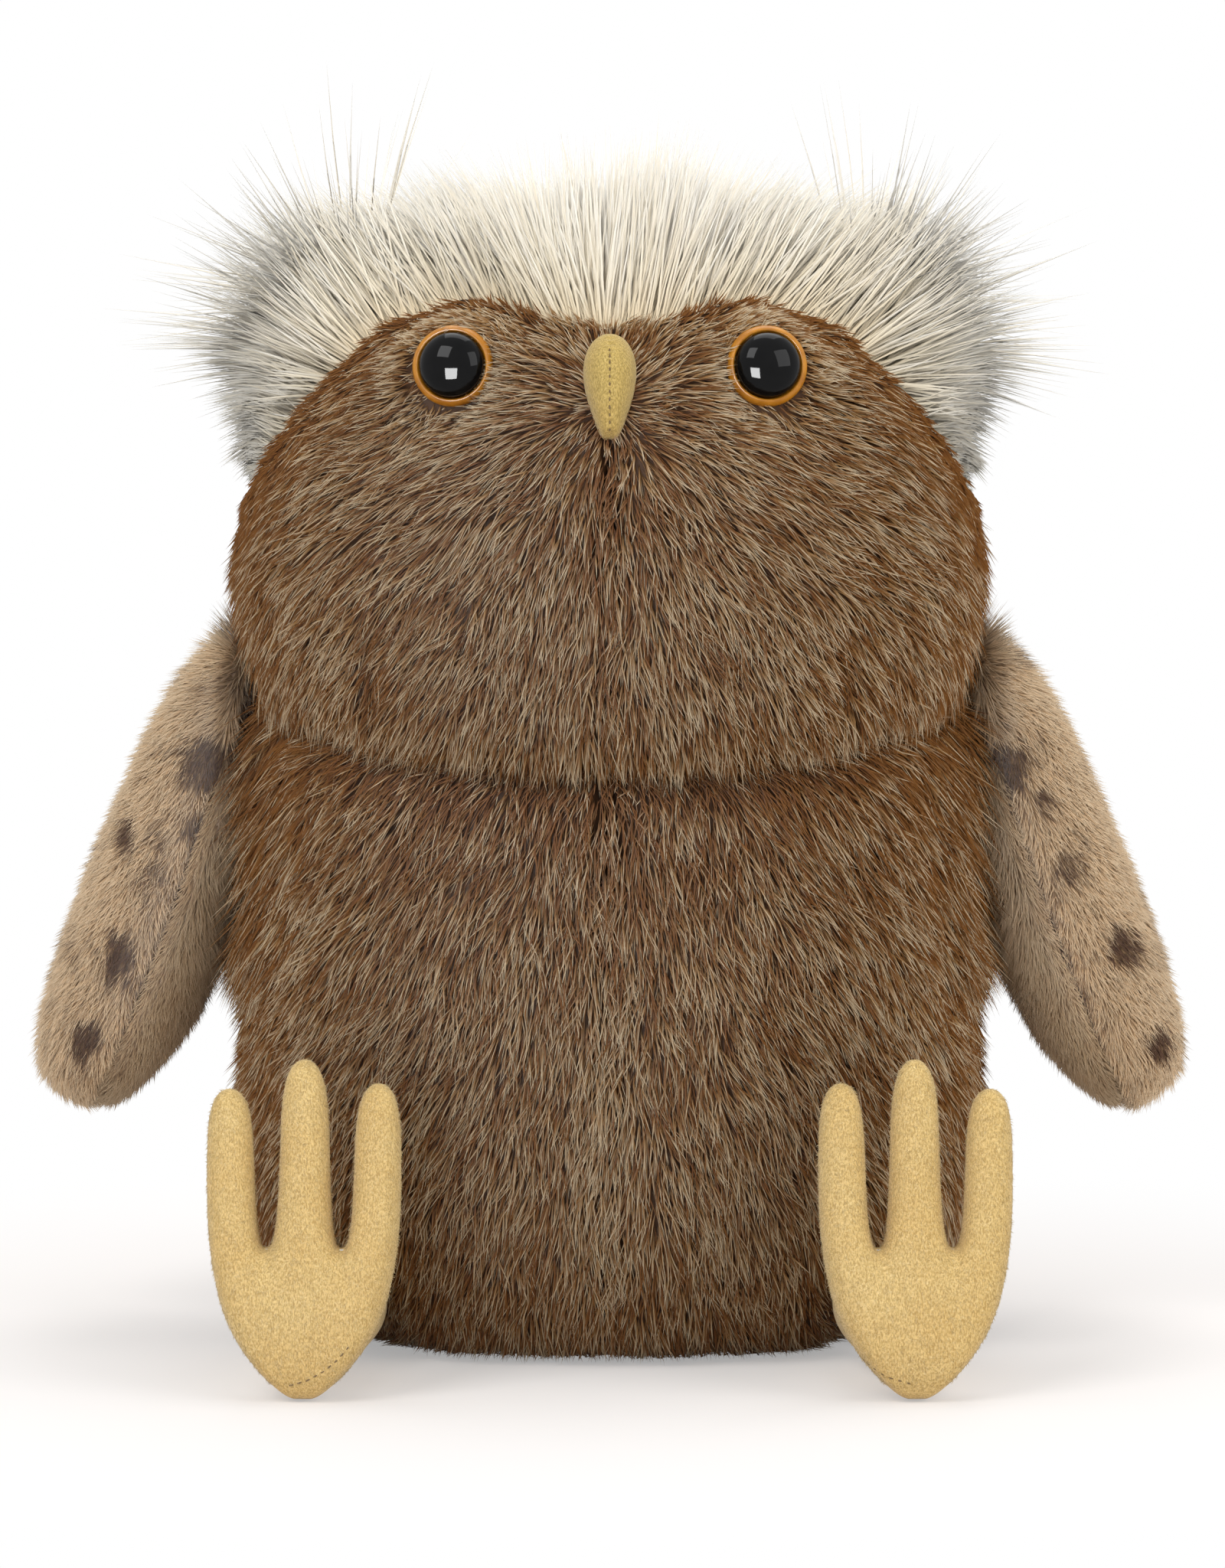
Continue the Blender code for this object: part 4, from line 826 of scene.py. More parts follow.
def fibre_group():
    """Colours a strand from its chart: u is its tone and v runs from root to tip."""
    group = bpy.data.node_groups.new("fibre_chart", "ShaderNodeTree")
    for name in ("Root", "Dark Middle", "Dark Tip", "Pale Middle", "Pale Tip"):
        group.interface.new_socket(name=name, in_out="INPUT", socket_type="NodeSocketColor")
    for name, default in (("Change", 0.5), ("Softness", 0.18), ("Tip Start", 0.55)):
        socket = group.interface.new_socket(name=name, in_out="INPUT", socket_type="NodeSocketFloat")
        socket.default_value = default
    group.interface.new_socket(name="Color", in_out="OUTPUT", socket_type="NodeSocketColor")
    group.interface.new_socket(name="Roughness", in_out="OUTPUT", socket_type="NodeSocketFloat")
    t = Tree(group)
    inputs = t.add("NodeGroupInput").outputs
    chart = t.add("ShaderNodeUVMap", uv_map="OFBake").outputs["UV"]
    parts = t.add("ShaderNodeSeparateXYZ", {0: chart}).outputs
    low, high = t.math("SUBTRACT", inputs["Change"], inputs["Softness"]), t.math("ADD", inputs["Change"],
        inputs["Softness"])
    pale = t.add("ShaderNodeMapRange", {"Value": parts["X"], "From Min": low, "From Max": high},
        interpolation_type="SMOOTHSTEP").outputs[0]
    tip = t.add("ShaderNodeMapRange", {"Value": parts["Y"], "From Min": inputs["Tip Start"], "From Max": 0.95},
        interpolation_type="SMOOTHSTEP").outputs[0]
    body = t.add("ShaderNodeMapRange", {"Value": parts["Y"], "From Min": 0.0, "From Max": 0.45},
        interpolation_type="SMOOTHSTEP").outputs[0]
    dark = t.mixed(tip, inputs["Dark Middle"], inputs["Dark Tip"])
    light = t.mixed(tip, inputs["Pale Middle"], inputs["Pale Tip"])
    colour = t.mixed(body, inputs["Root"], t.mixed(pale, dark, light))
    fine = t.add("ShaderNodeTexNoise", {"Vector": t.vector("MULTIPLY", chart, (160.0, 2.5, 1.0)), "Scale": 1.0,
        "Detail": 2.0}, noise_dimensions="2D").outputs["Fac"]
    colour = t.mixed(1.0, colour, t.ramp(fine, ((0.25, (0.78, 0.78, 0.78)), (0.75, (1.0, 1.0, 1.0)))), "MULTIPLY")
    rough = t.math("MULTIPLY_ADD", fine, 0.2, 0.55)
    t.add("NodeGroupOutput", {"Color": colour, "Roughness": rough})
    return group


def shared(name, build):
    return bpy.data.node_groups.get(name) or build()


def material_of(name):
    made = bpy.data.materials.new(name)
    made.use_nodes = True
    t = Tree(made.node_tree)
    shader = made.node_tree.nodes["Principled BSDF"]
    return made, t, shader


def fur_values(settings, others):
    """The fur tree's inputs: what a user sets, and the rest."""
    return {"density": settings.density, "length": settings.length, "width": settings.width, **others}


def fibre_material(name, colours, change, softness, tip_start, sheen, kind="", shine=0.25):
    made, t, shader = material_of(name)
    group = t.add("ShaderNodeGroup")
    group.node_tree = shared("fibre_chart", fibre_group)
    for key in ("Root", "Dark Middle", "Dark Tip", "Pale Middle", "Pale Tip"):
        value = getattr(colours, kind + key.lower().replace(" ", "_"))
        group.inputs[key].default_value = (*value, 1.0)
    group.inputs["Change"].default_value = change
    group.inputs["Softness"].default_value = softness
    group.inputs["Tip Start"].default_value = tip_start
    t.put(group.outputs["Color"], shader.inputs["Base Color"])
    t.put(group.outputs["Roughness"], shader.inputs["Roughness"])
    shader.inputs["Specular IOR Level"].default_value = shine
    shader.inputs["Sheen Weight"].default_value = sheen
    shader.inputs["Sheen Roughness"].default_value = 0.5
    return made


# Brown fur


def face_comb(points):
    """The way the face's fur lies: out from the beak, and down."""
    away = points - np.array((0, 0, 0.218))
    way = np.stack((away[:, 0], np.zeros(len(points)), away[:, 2]), axis=1)
    way = unit(way) + np.array((0, 0, -0.30))
    behind = ease(points[:, 1], -0.03, 0.03)[:, None]
    return unit(way * (1 - behind) + np.array((0, 0.35, -1.0)) * behind)


def trunk_comb(points):
    side = points[:, 0] / TRUNK["half"]
    way = np.stack((0.75 * side, np.zeros(len(points)), -np.ones(len(points))), axis=1)
    return unit(way)


def comb_skin(skin, normals, comb, pile, thick, tone, lie=1.0, facing=None):
    """Gives a skin what the fur tree reads, with the comb laid along the surface. A higher lie gives flatter hair."""
    comb = unit(comb - normals * np.sum(comb * normals, axis=1, keepdims=True)) * np.reshape(lie, (-1, 1))
    put_attribute(skin.data, "comb", "FLOAT_VECTOR", comb)
    put_attribute(skin.data, "facing", "FLOAT_VECTOR", normals if facing is None else facing)
    put_attribute(skin.data, "pile", "FLOAT", pile)
    put_attribute(skin.data, "thick", "FLOAT", thick)
    put_attribute(skin.data, "tone", "FLOAT", tone)


def eye_gap(points):
    """Distance from the nearer eye's axis, and the unit way from it."""
    gaps, ways = [], []
    for side in (1, -1):
        place = np.array((EYE_PLACE.x * side, EYE_PLACE.y, EYE_PLACE.z))
        axis = np.array((EYE_AHEAD.x * side, EYE_AHEAD.y, EYE_AHEAD.z))
        from_eye = points - place
        from_eye = from_eye - np.outer(from_eye @ axis, axis)
        gaps.append(np.linalg.norm(from_eye, axis=1))
        ways.append(unit(from_eye))
    left = (points[:, 0] > 0)
    front = points[:, 1] < 0
    gap = np.where(left, gaps[0], gaps[1])
    return np.where(front, gap, 1.0), np.where(left[:, None], ways[0], ways[1])


def to_eye_seat(points):
    """The way from each point to the plane that the nearer eye's disc sits on."""
    side = np.where(points[:, 0] > 0, 1.0, -1.0)
    mirror = np.stack((side, np.ones(len(points)), np.ones(len(points))), axis=1)
    place, axis = mirror * np.array(EYE_PLACE), mirror * np.array(EYE_AHEAD)
    height = np.sum((points - place) * axis, axis=1)
    return axis * (0.0004 - height)[:, None]


def brow_slope(x):
    """How steeply the brow seam climbs outwards at a place across the face."""
    out = np.abs(x)
    return (brow_height(out + 0.001) - brow_height(np.maximum(out - 0.001, 0.0))) / 0.002


def beak_gap(points):
    """How far outside the beak's outline a point of the face lies, over the beak's own half width."""
    down = (BEAK["top"] - points[:, 2]) / BEAK["length"]
    half = np.interp(down, (-0.05, 0.07, 0.27, 0.52, 0.76, 0.94, 1.05),
        (0.3, 0.66, 1.02, 0.93, 0.62, 0.36, 0.1)) * BEAK["half"]
    gap = np.abs(points[:, 0]) - half
    over = np.maximum(points[:, 2] - BEAK["top"], 0) + np.maximum(BEAK["top"] - BEAK["length"] - points[:, 2], 0)
    gap = np.where((points[:, 1] < 0), np.maximum(gap, over), 1.0)
    return gap


BROWN_FUR = {
    "length_spread": 0.40, "rise": 0.40, "scatter": 0.26, "wave": 0.34, "wave_size": 0.014, "bend": 0.28,
    "lock_size": 0.0034,
    "lock_pull": 0.72, "tuft_size": 0.011, "tuft_pull": 0.22, "tone_size": 0.0028, "tone_patches": 0.72,
    "tone_spread": 0.62,
}
FOLD_OUT, FOLD_LOW, FOLD_HIGH = 0.052, 0.148, 0.176


def bell(value, width):
    return np.exp(-(value / width) ** 2)


def fold_depth(points):
    """How much each point lies in one of the two upright folds over the neck crease, from 0 to 1."""
    upright = ease(points[:, 2], FOLD_LOW - 0.004, FOLD_LOW + 0.006) * (1 - ease(points[:, 2], FOLD_HIGH - 0.010,
        FOLD_HIGH))
    return bell(np.abs(points[:, 0]) - FOLD_OUT, 0.0030) * upright * (points[:, 1] < 0)


def trunk_dents(rest, moved, normals):
    """Keeps the trunk's lower edge down on the floor, and pulls it in at the neck and the middle seam."""
    low = (1 - ease(rest[:, 2], 0.004, 0.024))[:, None]
    level = unit(normals * np.array((1.0, 1.0, 0.05)))
    moved = rest - (normals * (1 - low) + level * low) * PILE_DEPTH
    pull = 0.0013 * bell(above_neck(rest), 0.0045) + 0.0009 * bell(rest[:, 0], 0.0022) * (rest[:, 1] < 0)
    by_wing = ease(np.abs(rest[:, 0]) / TRUNK["half"], 0.78, 0.90) * ease(rest[:, 2], 0.108,
        0.126) * (1 - ease(np.abs(rest[:, 1] - 0.004), 0.014, 0.026))
    moved = moved + normals * (PILE_DEPTH * by_wing - pull)[:, None]
    moved[:, 2] = np.maximum(moved[:, 2], 0.0016)
    return moved


def head_dents(rest, moved, normals):
    """Pulls the head in at the neck, down the middle seam under the beak, and in the two folds."""
    under = 1 - ease(rest[:, 2], BEAK["top"] - BEAK["length"], BEAK["top"] - BEAK["length"] + 0.004)
    gap, _ = eye_gap(rest)
    moved = moved + to_eye_seat(moved) * (1 - ease(gap, EYE_RADIUS * 1.10, EYE_RADIUS * 1.9))[:, None]
    pull = 0.0014 * bell(above_neck(rest), 0.0032) * (1 - ease(np.abs(rest[:, 0]), 0.062,
        0.074)) + 0.0013 * bell(rest[:, 0], 0.0022) * under * (rest[:, 1] < 0)
    return moved - normals * (pull + 0.0024 * fold_depth(rest))[:, None]


def grow_brown(settings, name, keep, form, coarse, comb, stands_for, seed, shoot, material, dents):
    skin, rest, normals = patch(form, keep, name + "_skin", PILE_DEPTH, dents)
    backing, _, _ = patch(coarse, keep, name + "_backing", PILE_DEPTH, dents)
    backed(backing, 0.0012)
    chart_backing(backing, 0.3)
    way = comb(rest)
    pile, thick, tone = np.ones(len(rest)), np.ones(len(rest)), np.full(len(rest), 0.54)
    out = np.abs(rest[:, 0]) / HEAD["half"]
    tone -= 0.16 * ease(out, 0.72, 1.0)
    over_neck = above_neck(rest)
    if "face" in name or "nape" in name:
        pile *= 1 + 0.10 * (1 - ease(over_neck, 0.0, 0.012)) + 0.60 * ease(out, 0.84,
            0.95) * (1 - ease(over_neck, 0.0, 0.02))
    else:
        pile *= 0.90 + 0.10 * ease(-over_neck, 0.0, 0.014)
        # Painted shade under the head's overhang: the belly's fur is darker for about 45 mm below the neck crease,
        # most of all in front
        ahead = 0.35 + 0.65 * (1 - ease(rest[:, 1], -0.03, 0.03))
        tone -= (0.20 * (1 - ease(-over_neck, -0.002, 0.012)) + 0.13 * (1 - ease(-over_neck, 0.01, 0.045))) * ahead
        tone += 0.22 * bell(rest[:, 0], 0.0075) * ease(rest[:, 2], 0.015,
            0.035) * (1 - ease(rest[:, 2], 0.07, 0.10)) * (rest[:, 1] < 0)
        # Painted shade near the floor: darker over the lowest 40 mm
        tone -= 0.08 * (1 - ease(rest[:, 2], 0.004, 0.040))
        hip = joint_place("left_leg_swing")
        near_leg = np.hypot(np.abs(rest[:, 0]) - hip.x, rest[:, 2] - hip.z) + np.maximum(rest[:, 1] - hip.y - 0.02, 0)
        pile *= 0.45 + 0.55 * ease(near_leg, LEG["radius"] * 0.8, LEG["radius"] * 1.7)
        hip_side = 1 - ease(np.hypot(rest[:, 1] + 0.040, rest[:, 2] - hip.z), 0.010, 0.024)
        hip_side *= ease(np.abs(rest[:, 0]), 0.057, 0.064)
        pile *= 1 + 1.1 * hip_side
        way = unit(way * (1 - hip_side[:, None]) + (normals * 0.9 + np.array((0, -1.0, -0.1))) * hip_side[:, None])
        beside = ease(out, 0.80, 0.95) * ease(rest[:, 2], 0.080, 0.100) * (1 - ease(np.abs(rest[:, 1]), 0.025, 0.045))
        pile *= 1 + 1.15 * beside
        way = unit(way + normals * beside[:, None])
    if "face" in name:
        gap, from_eye = eye_gap(rest)
        near = 1 - ease(gap, EYE_RADIUS * 0.9, EYE_RADIUS * 2.6)
        side = np.sign(rest[:, 0])
        inner = ease(-from_eye[:, 0] * side * 0.8 - from_eye[:, 2] * 0.6, 0.2, 0.8)
        way = unit(way + from_eye * (1.6 * near * (1 - inner))[:, None])
        pile *= 0.46 + 0.54 * ease(gap, EYE_RADIUS * 0.9, EYE_RADIUS * 2.2)
        thick *= ease(gap, EYE_RADIUS * 0.88, EYE_RADIUS * 1.02) * (1 + 0.6 * near)
        tone += 0.22 * near
        tone -= 0.16 * ease(np.abs(rest[:, 0]), 0.034, 0.050) * (1 - ease(-above_brow(rest), 0.006, 0.028)) * (rest[:,
            1] < 0)
        gap = beak_gap(rest)
        pile *= 0.60 + 0.40 * ease(gap, 0.0, 0.010)
        thick *= ease(gap, -0.0012, 0.0004) * (1 + 0.5 * (1 - ease(gap, 0.002, 0.010)))
        slope = brow_slope(rest[:, 0])
        over = -above_brow(rest) / np.sqrt(1 + slope ** 2)
        in_front = rest[:, 1] < SIDE_SEAM_Y
        between = 1 - ease(np.abs(rest[:, 0]), 0.009, 0.016)
        along_brow = unit(np.stack((side, np.zeros(len(rest)), slope - 0.15), axis=1))
        under_brow = (0.85 * (1 - ease(over, 0.006, 0.016)) * in_front * (1 - between))[:, None]
        way = unit(way * (1 - under_brow) + along_brow * under_brow)
        line = ((1 - ease(over, 0.0008, 0.0022)) * in_front)[:, None]
        upward = unit(np.stack((-slope * side, np.zeros(len(rest)), np.ones(len(rest))), axis=1))
        way = unit(way * (1 - line) + (upward * 0.6 + along_brow * 0.8) * line)
        tone = tone * (1 - line[:, 0]) + (0.02 + 0.85 * between) * line[:, 0]
        thick *= 1 + 0.9 * line[:, 0]
        pile *= 0.45 + 0.20 * between + (0.55 - 0.20 * between) * ease(over, 0.0015, 0.010)
        tip = BEAK["top"] - BEAK["length"]
        parting = bell(rest[:, 0], 0.0018) * (1 - ease(rest[:, 2], tip - 0.001, tip + 0.002))
        tone -= 0.55 * parting * ease(rest[:, 2], tip - 0.014, tip - 0.003) + 0.12 * parting
        # Painted shade in the two upright folds over the neck crease
        tone -= 0.35 * fold_depth(rest)
    comb_skin(skin, normals, way, pile, thick, tone)
    grown(skin, backing, shoot, material, seed=seed, **fur_values(settings, BROWN_FUR))
    return finish_piece(skin, name, "torso", stands_for)


def build_brown_fur(settings):
    material = fibre_material("brown_plush_fur", settings, 0.52, 0.16, 0.40, 0.0, shine=0.12)
    shoot = strand("brown_strand", [(0.42, 0.5)], 0.0)
    trunk, trunk_coarse = trunk_form(4), trunk_form(3)
    head, head_coarse = head_form(4), head_form(3)
    sides = {
        "left": lambda c: (c[:, 0] > 0) & (c[:, 1] < SIDE_SEAM_Y),
        "right": lambda c: (c[:, 0] < 0) & (c[:, 1] < SIDE_SEAM_Y),
    }
    seed = 11
    for side, of_side in sides.items():
        grow_brown(
            settings, side + "_face_fur",
            lambda c, s=of_side: s(c) & (above_neck(c) > -NECK_LAP) & (above_brow(c) < 0),
            head, head_coarse, face_comb, [side + "_face_panel"], seed, shoot, material, head_dents,
        )
        grow_brown(
            settings, side + "_belly_fur",
            lambda c, s=of_side: s(c) & (above_neck(c) < NECK_LAP) & (c[:, 2] > 0.0),
            trunk, trunk_coarse, trunk_comb, [side + "_belly_panel"], seed + 1, shoot, material, trunk_dents,
        )
        grow_brown(
            settings, side + "_back_fur",
            lambda c, s=side: (c[:, 1] > SIDE_SEAM_Y) & ((c[:,
            0] > 0) == (s == "left")) & (above_neck(c) < NECK_LAP) & (c[:, 2] > 0.0),
            trunk, trunk_coarse, trunk_comb, ["back_panel"], seed + 2, shoot, material, trunk_dents,
        )
        seed += 10
    grow_brown(
        settings, "nape_fur",
        lambda c: (c[:, 1] > SIDE_SEAM_Y) & (above_neck(c) > -NECK_LAP) & (above_brow(c) < 0),
        head, head_coarse, face_comb, ["nape_panel"], seed, shoot, material, head_dents,
    )
    drop(trunk, trunk_coarse, head, head_coarse, shoot)


# Mane


MANE_FUR = {
    "length_spread": 0.34, "rise": 0.50, "scatter": 0.16, "wave": 0.28, "wave_size": 0.022, "bend": 0.06,
    "lock_size": 0.0085, "lock_pull": 0.66, "tuft_size": 0.015, "tuft_pull": 0.56,
    "tone_size": 0.010, "tone_patches": 0.5, "tone_spread": 0.6, "skin_light": 0.80,
}
# Where the fan of hair starts from, and how much lower that is for the hair on top
MANE_FAN_CENTRE = (0, 0.01, 0.198)
MANE_FAN_DROP = 0.020
# Share of the full pile at each height on the front and sides, and the share behind
MANE_PILE_HEIGHTS = (0.195, 0.205, 0.216, 0.225, 0.235, 0.245)
MANE_PILE_SHARES = (0.12, 0.24, 0.46, 0.66, 0.92, 0.92)
MANE_PILE_BEHIND = 0.62
MANE_BACKING_THICKNESS = 0.0012


def mane_comb(points):
    """The way the mane lies: a fan seen from the front, and back and down behind."""
    away = points - np.array(MANE_FAN_CENTRE)
    away[:, 2] += MANE_FAN_DROP * ease(points[:, 2], 0.220, 0.243)
    fan = unit(np.stack((away[:, 0] * 1.1, np.zeros(len(points)), away[:, 2]), axis=1)) + np.array((0, 0.12, 0.10))
    fan[:, 2] += 0.30 * bell(np.abs(points[:, 0]) - 0.064, 0.020) * ease(points[:, 2], 0.224, 0.240)
    back = ease(points[:, 1], 0.020, 0.070)
    fall = unit(np.stack((points[:, 0] * 9, np.full(len(points), 0.6), 0.25 - 1.35 * back), axis=1))
    behind = ease(points[:, 1], 0.015, 0.060)[:, None]
    return unit(fan * (1 - behind) + fall * behind)


def build_mane(settings):
    material = fibre_material("cream_pile_fur", settings, 0.45, 0.30, 0.35, 0.1)
    shoot = strand("mane_strand", [(0.0, 0.42), (0.35, 0.5), (0.7, 0.36)])
    form, coarse = head_form(4), head_form(3)
    for side, sign in (("left", 1), ("right", -1)):
        keep = lambda c, s=sign: (c[:, 0] * s > 0) & (above_brow(c) > 0.0)
        skin, rest, normals = patch(form, keep, side + "_mane_skin", MANE_SINK)
        backing, _, _ = patch(coarse, keep, side + "_mane_backing", MANE_SINK)
        backed(backing, MANE_BACKING_THICKNESS)
        chart_backing(backing, 0.4)
        way = mane_comb(rest)
        over = above_brow(rest)
        pile = np.interp(rest[:, 2], MANE_PILE_HEIGHTS, MANE_PILE_SHARES)
        out = np.abs(rest[:, 0])
        crown = ease(rest[:, 1], -0.045, 0.0) * ease(rest[:, 2], 0.236, 0.250) * (1 - 0.8 * ease(out, 0.015, 0.045))
        pile *= (1 - 0.30 * crown) * (0.75 + 0.25 * ease(over, 0.0, 0.010))
        pile *= 1 + 0.40 * ease(out, 0.02, 0.045) * ease(rest[:, 2], 0.224, 0.236)
        pile *= 1 - 0.30 * ease(out, 0.062, 0.084) * (1 - ease(rest[:, 2], 0.236, 0.252))
        pile *= 1 - 0.32 * ease(out, 0.025, 0.045) * ease(rest[:, 2], 0.240, 0.254)
        low_side = (1 - ease(rest[:, 2], 0.200, 0.232)) * ease(out, 0.050, 0.078)
        behind = ease(rest[:, 1], 0.01, 0.05)
        pile = pile * (1 - behind) + MANE_PILE_BEHIND * (1 - 0.62 * low_side) * behind
        tone = np.full(len(rest), 0.30) + 0.4 * ease(over, 0.0, 0.016)
        front = 1 - ease(rest[:, 1], -0.02, 0.03)
        ahead = 0.40 * ease(rest[:, 1], 0.045, 0.080) - 0.60 * (1 - ease(rest[:, 1], -0.055, -0.018))
        facing = normals * 0.30 + np.stack((np.zeros(len(rest)), ahead, np.full(len(rest), 0.9)), axis=1)
        lie = 1 + 0.9 * front * (1 - ease(out, 0.05, 0.075))
        comb_skin(skin, normals, way, pile, 0.55 + 0.45 * front, tone, lie, unit(facing))
        grown(skin, backing, shoot, material, seed=71 + sign, **fur_values(settings, MANE_FUR))
        finish_piece(skin, side + "_mane", "torso", ["mane"])
    drop(form, coarse, shoot)


# Wings


def joint_place(name):
    return Vector(next(joint["pos_m"] for joint in frame["joints"] if joint["name"] == name))


def mirror_mesh(obj, sign):
    """Turns a left form into a right one when sign is -1."""
    if sign < 0:
        obj.data.transform(Matrix.Scale(-1.0, 4, Vector((1, 0, 0))))
        obj.data.flip_normals()
    return obj


def wing_form(levels, sign):
    hinge = joint_place("left_wing_lift")
    down, outward = Vector((math.sin(WING_LEAN), 0, -math.cos(WING_LEAN))), Vector((math.cos(WING_LEAN), 0,
        math.sin(WING_LEAN)))
    back = Vector((0, 1, 0))
    root = (WING["root"], WING["root"], WING["root_depth"], WING["root_depth"])
    sections = []
    for climb in ROOT_CLIMBS:
        reaches = [reach * math.sqrt(1 - climb * climb) for reach in root]
        sections.append((hinge + down * (WING["root"] * climb), outward, back, reaches))
    for share, inset, outer, inner, depth in WING_RINGS:
        reaches = (WING["out"] * outer, WING["in"] * inner, WING["depth"] * depth, WING["depth"] * depth)
        centre = hinge + down * (WING["length"] * share) - outward * (WING["seam"] * inset)
        sections.append((centre, outward, back, reaches))
    tip = hinge + down * WING["length"] - outward * WING["seam"]
    form = smooth_form("wing", sections, hinge - down * WING["root"], tip, 8, 1.95, levels)
    return mirror_mesh(form, sign)


def wing_places(points, sign):
    """Each point's way down its wing, and out across it from the seam."""
    hinge = np.array(joint_place("left_wing_lift"))
    local = points * np.array((sign, 1, 1)) - hinge
    down = np.array((math.sin(WING_LEAN), 0, -math.cos(WING_LEAN)))
    outward = np.array((math.cos(WING_LEAN), 0, math.sin(WING_LEAN)))
    return local @ down, local @ outward + WING["seam"]


# Spots on each wing: place across, height, whether on the front or the back, half width and half height in metres,
# darkness
SPOTS = {
    1: (
        (0.0918, 0.1337, -1, 0.0060, 0.0070, 1.0), (0.0990, 0.1262, -1, 0.0045, 0.0040, 0.55),
        (0.1071, 0.1138, -1, 0.0050, 0.0060, 0.5),
        (0.1189, 0.0921, -1, 0.0046, 0.0056, 0.95), (0.1280, 0.0686, -1, 0.0036, 0.0062, 0.9),
        (0.0960, 0.1290, 1, 0.0055, 0.0060, 1.0),
        (0.1090, 0.1060, 1, 0.0050, 0.0070, 0.8), (0.1140, 0.0800, 1, 0.0050, 0.0045, 0.9),
        (0.1230, 0.0950, 1, 0.0030, 0.0060, 0.6),
    ),
    -1: (
        (0.0920, 0.1347, -1, 0.0064, 0.0062, 1.0), (0.1119, 0.1174, -1, 0.0026, 0.0062, 0.75),
        (0.0947, 0.1193, -1, 0.0040, 0.0045, 0.55),
        (0.1056, 0.1066, -1, 0.0055, 0.0060, 0.4), (0.1137, 0.0903, -1, 0.0048, 0.0062, 0.95),
        (0.1219, 0.0704, -1, 0.0050, 0.0056, 0.95),
        (0.0950, 0.1330, 1, 0.0050, 0.0070, 1.0), (0.1120, 0.1100, 1, 0.0055, 0.0050, 0.8),
        (0.1100, 0.0850, 1, 0.0045, 0.0060, 0.9),
        (0.1220, 0.0780, 1, 0.0040, 0.0045, 0.7),
    ),
}
WING_FUR = {
    "length_spread": 0.40, "rise": 0.40, "scatter": 0.26, "wave": 0.26, "wave_size": 0.010, "bend": 0.15,
    "lock_size": 0.0024,
    "lock_pull": 0.38, "tuft_size": 0.008, "tuft_pull": 0.12, "tone_size": 0.0065, "tone_patches": 0.62,
    "tone_spread": 0.45,
    "skin_light": 0.80,
}


def spot_shade(points, sign):
    """How dark each point of a wing is, from 0 to 1, with ragged edges to its spots."""
    ragged = 1 + 0.35 * np.sin(points @ (900, 500, 700)) * np.sin(points @ (-400, 800, 600))
    shade = np.zeros(len(points))
    for x, z, face, half_x, half_z, dark in SPOTS[sign]:
        gap = np.hypot((points[:, 0] * sign - x) / half_x, (points[:, 2] - z) / half_z) * ragged
        on_face = ease(points[:, 1] * face, -0.004, 0.004)
        shade = np.maximum(shade, dark * (1 - ease(gap, 0.30, 1.25)) * on_face)
    return shade


def wing_dents(sign):
    """A skin shape that sinks along the seam between a wing's two panels."""
    def shape(rest, moved, normals):
        down, out = wing_places(rest, sign)
        moved = moved + normals * (WING_PILE * ease(-normals[:, 0] * sign, 0.1,
            0.6) * (1 - ease(down, 0.030, 0.050)))[:, None]
        return moved - normals * (0.0026 * bell(out, 0.0030))[:, None]
    return shape


def build_wings(settings):
    spotted = fibre_material("spotted_plush_fur", settings, 0.40, 0.22, 0.25, 0.1)
    plain = fibre_material("beige_plush_fur", settings, 0.45, 0.30, 0.25, 0.1, "plain_")
    shoot = strand("wing_strand", [(0.0, 0.5)])
    for side, sign in (("left", 1), ("right", -1)):
        form, coarse = wing_form(4, sign), wing_form(3, sign)
        for panel, outer, material, slot in (("outer", True, spotted, "spotted_plush"),
            ("inner", False, plain, "beige_plush")):
            keep = lambda c: (wing_places(c, sign)[1] > 0) == outer
            name = side + "_wing_" + panel
            skin, rest, normals = patch(form, keep, name + "_skin", WING_PILE, wing_dents(sign))
            backing, _, _ = patch(coarse, keep, name + "_backing", WING_PILE, wing_dents(sign))
            backed(backing, 0.0010)
            chart_backing(backing, 0.7)
            down, out = wing_places(rest, sign)
            way = np.stack((np.sin(WING_LEAN) * sign * np.ones(len(rest)), 0.15 * np.sign(rest[:, 1]),
                -np.ones(len(rest))), axis=1)
            root = (1 - ease(down, 0.0, 0.022))[:, None]
            way = way * (1 - root) + np.stack((np.full(len(rest), 0.9 * sign), 0.1 * np.sign(rest[:, 1]),
                np.full(len(rest), -0.5)), axis=1) * root
            to_body = ease(-normals[:, 0] * sign, 0.2, 0.7) * ease(rest[:, 2], 0.080, 0.100)
            tone = 0.70 - 0.84 * spot_shade(rest, sign) if outer else np.full(len(rest), 0.5)
            # Painted shade along the valley of the seam between the two panels, and a darker tone at the root where it
            # faces the body
            tone -= (0.30 if outer else 0.15) * bell(out, 0.0022) + 0.12 * to_body * root[:, 0]
            pile = (1 + 0.3 * root[:, 0] + 1.2 * to_body) * (1 - 0.55 * bell(out, 0.0032))
            if not outer:
                pile *= 0.86
            comb_skin(skin, normals, unit(way), pile, np.ones(len(rest)), tone)
            grown(skin, backing, shoot, material, seed=120 + 3 * sign + outer, **fur_values(settings, WING_FUR))
            finish_piece(skin, name + "_plush", side + "_wing", [name + "_panel"])
        drop(form, coarse)
    drop(shoot)


# Suede


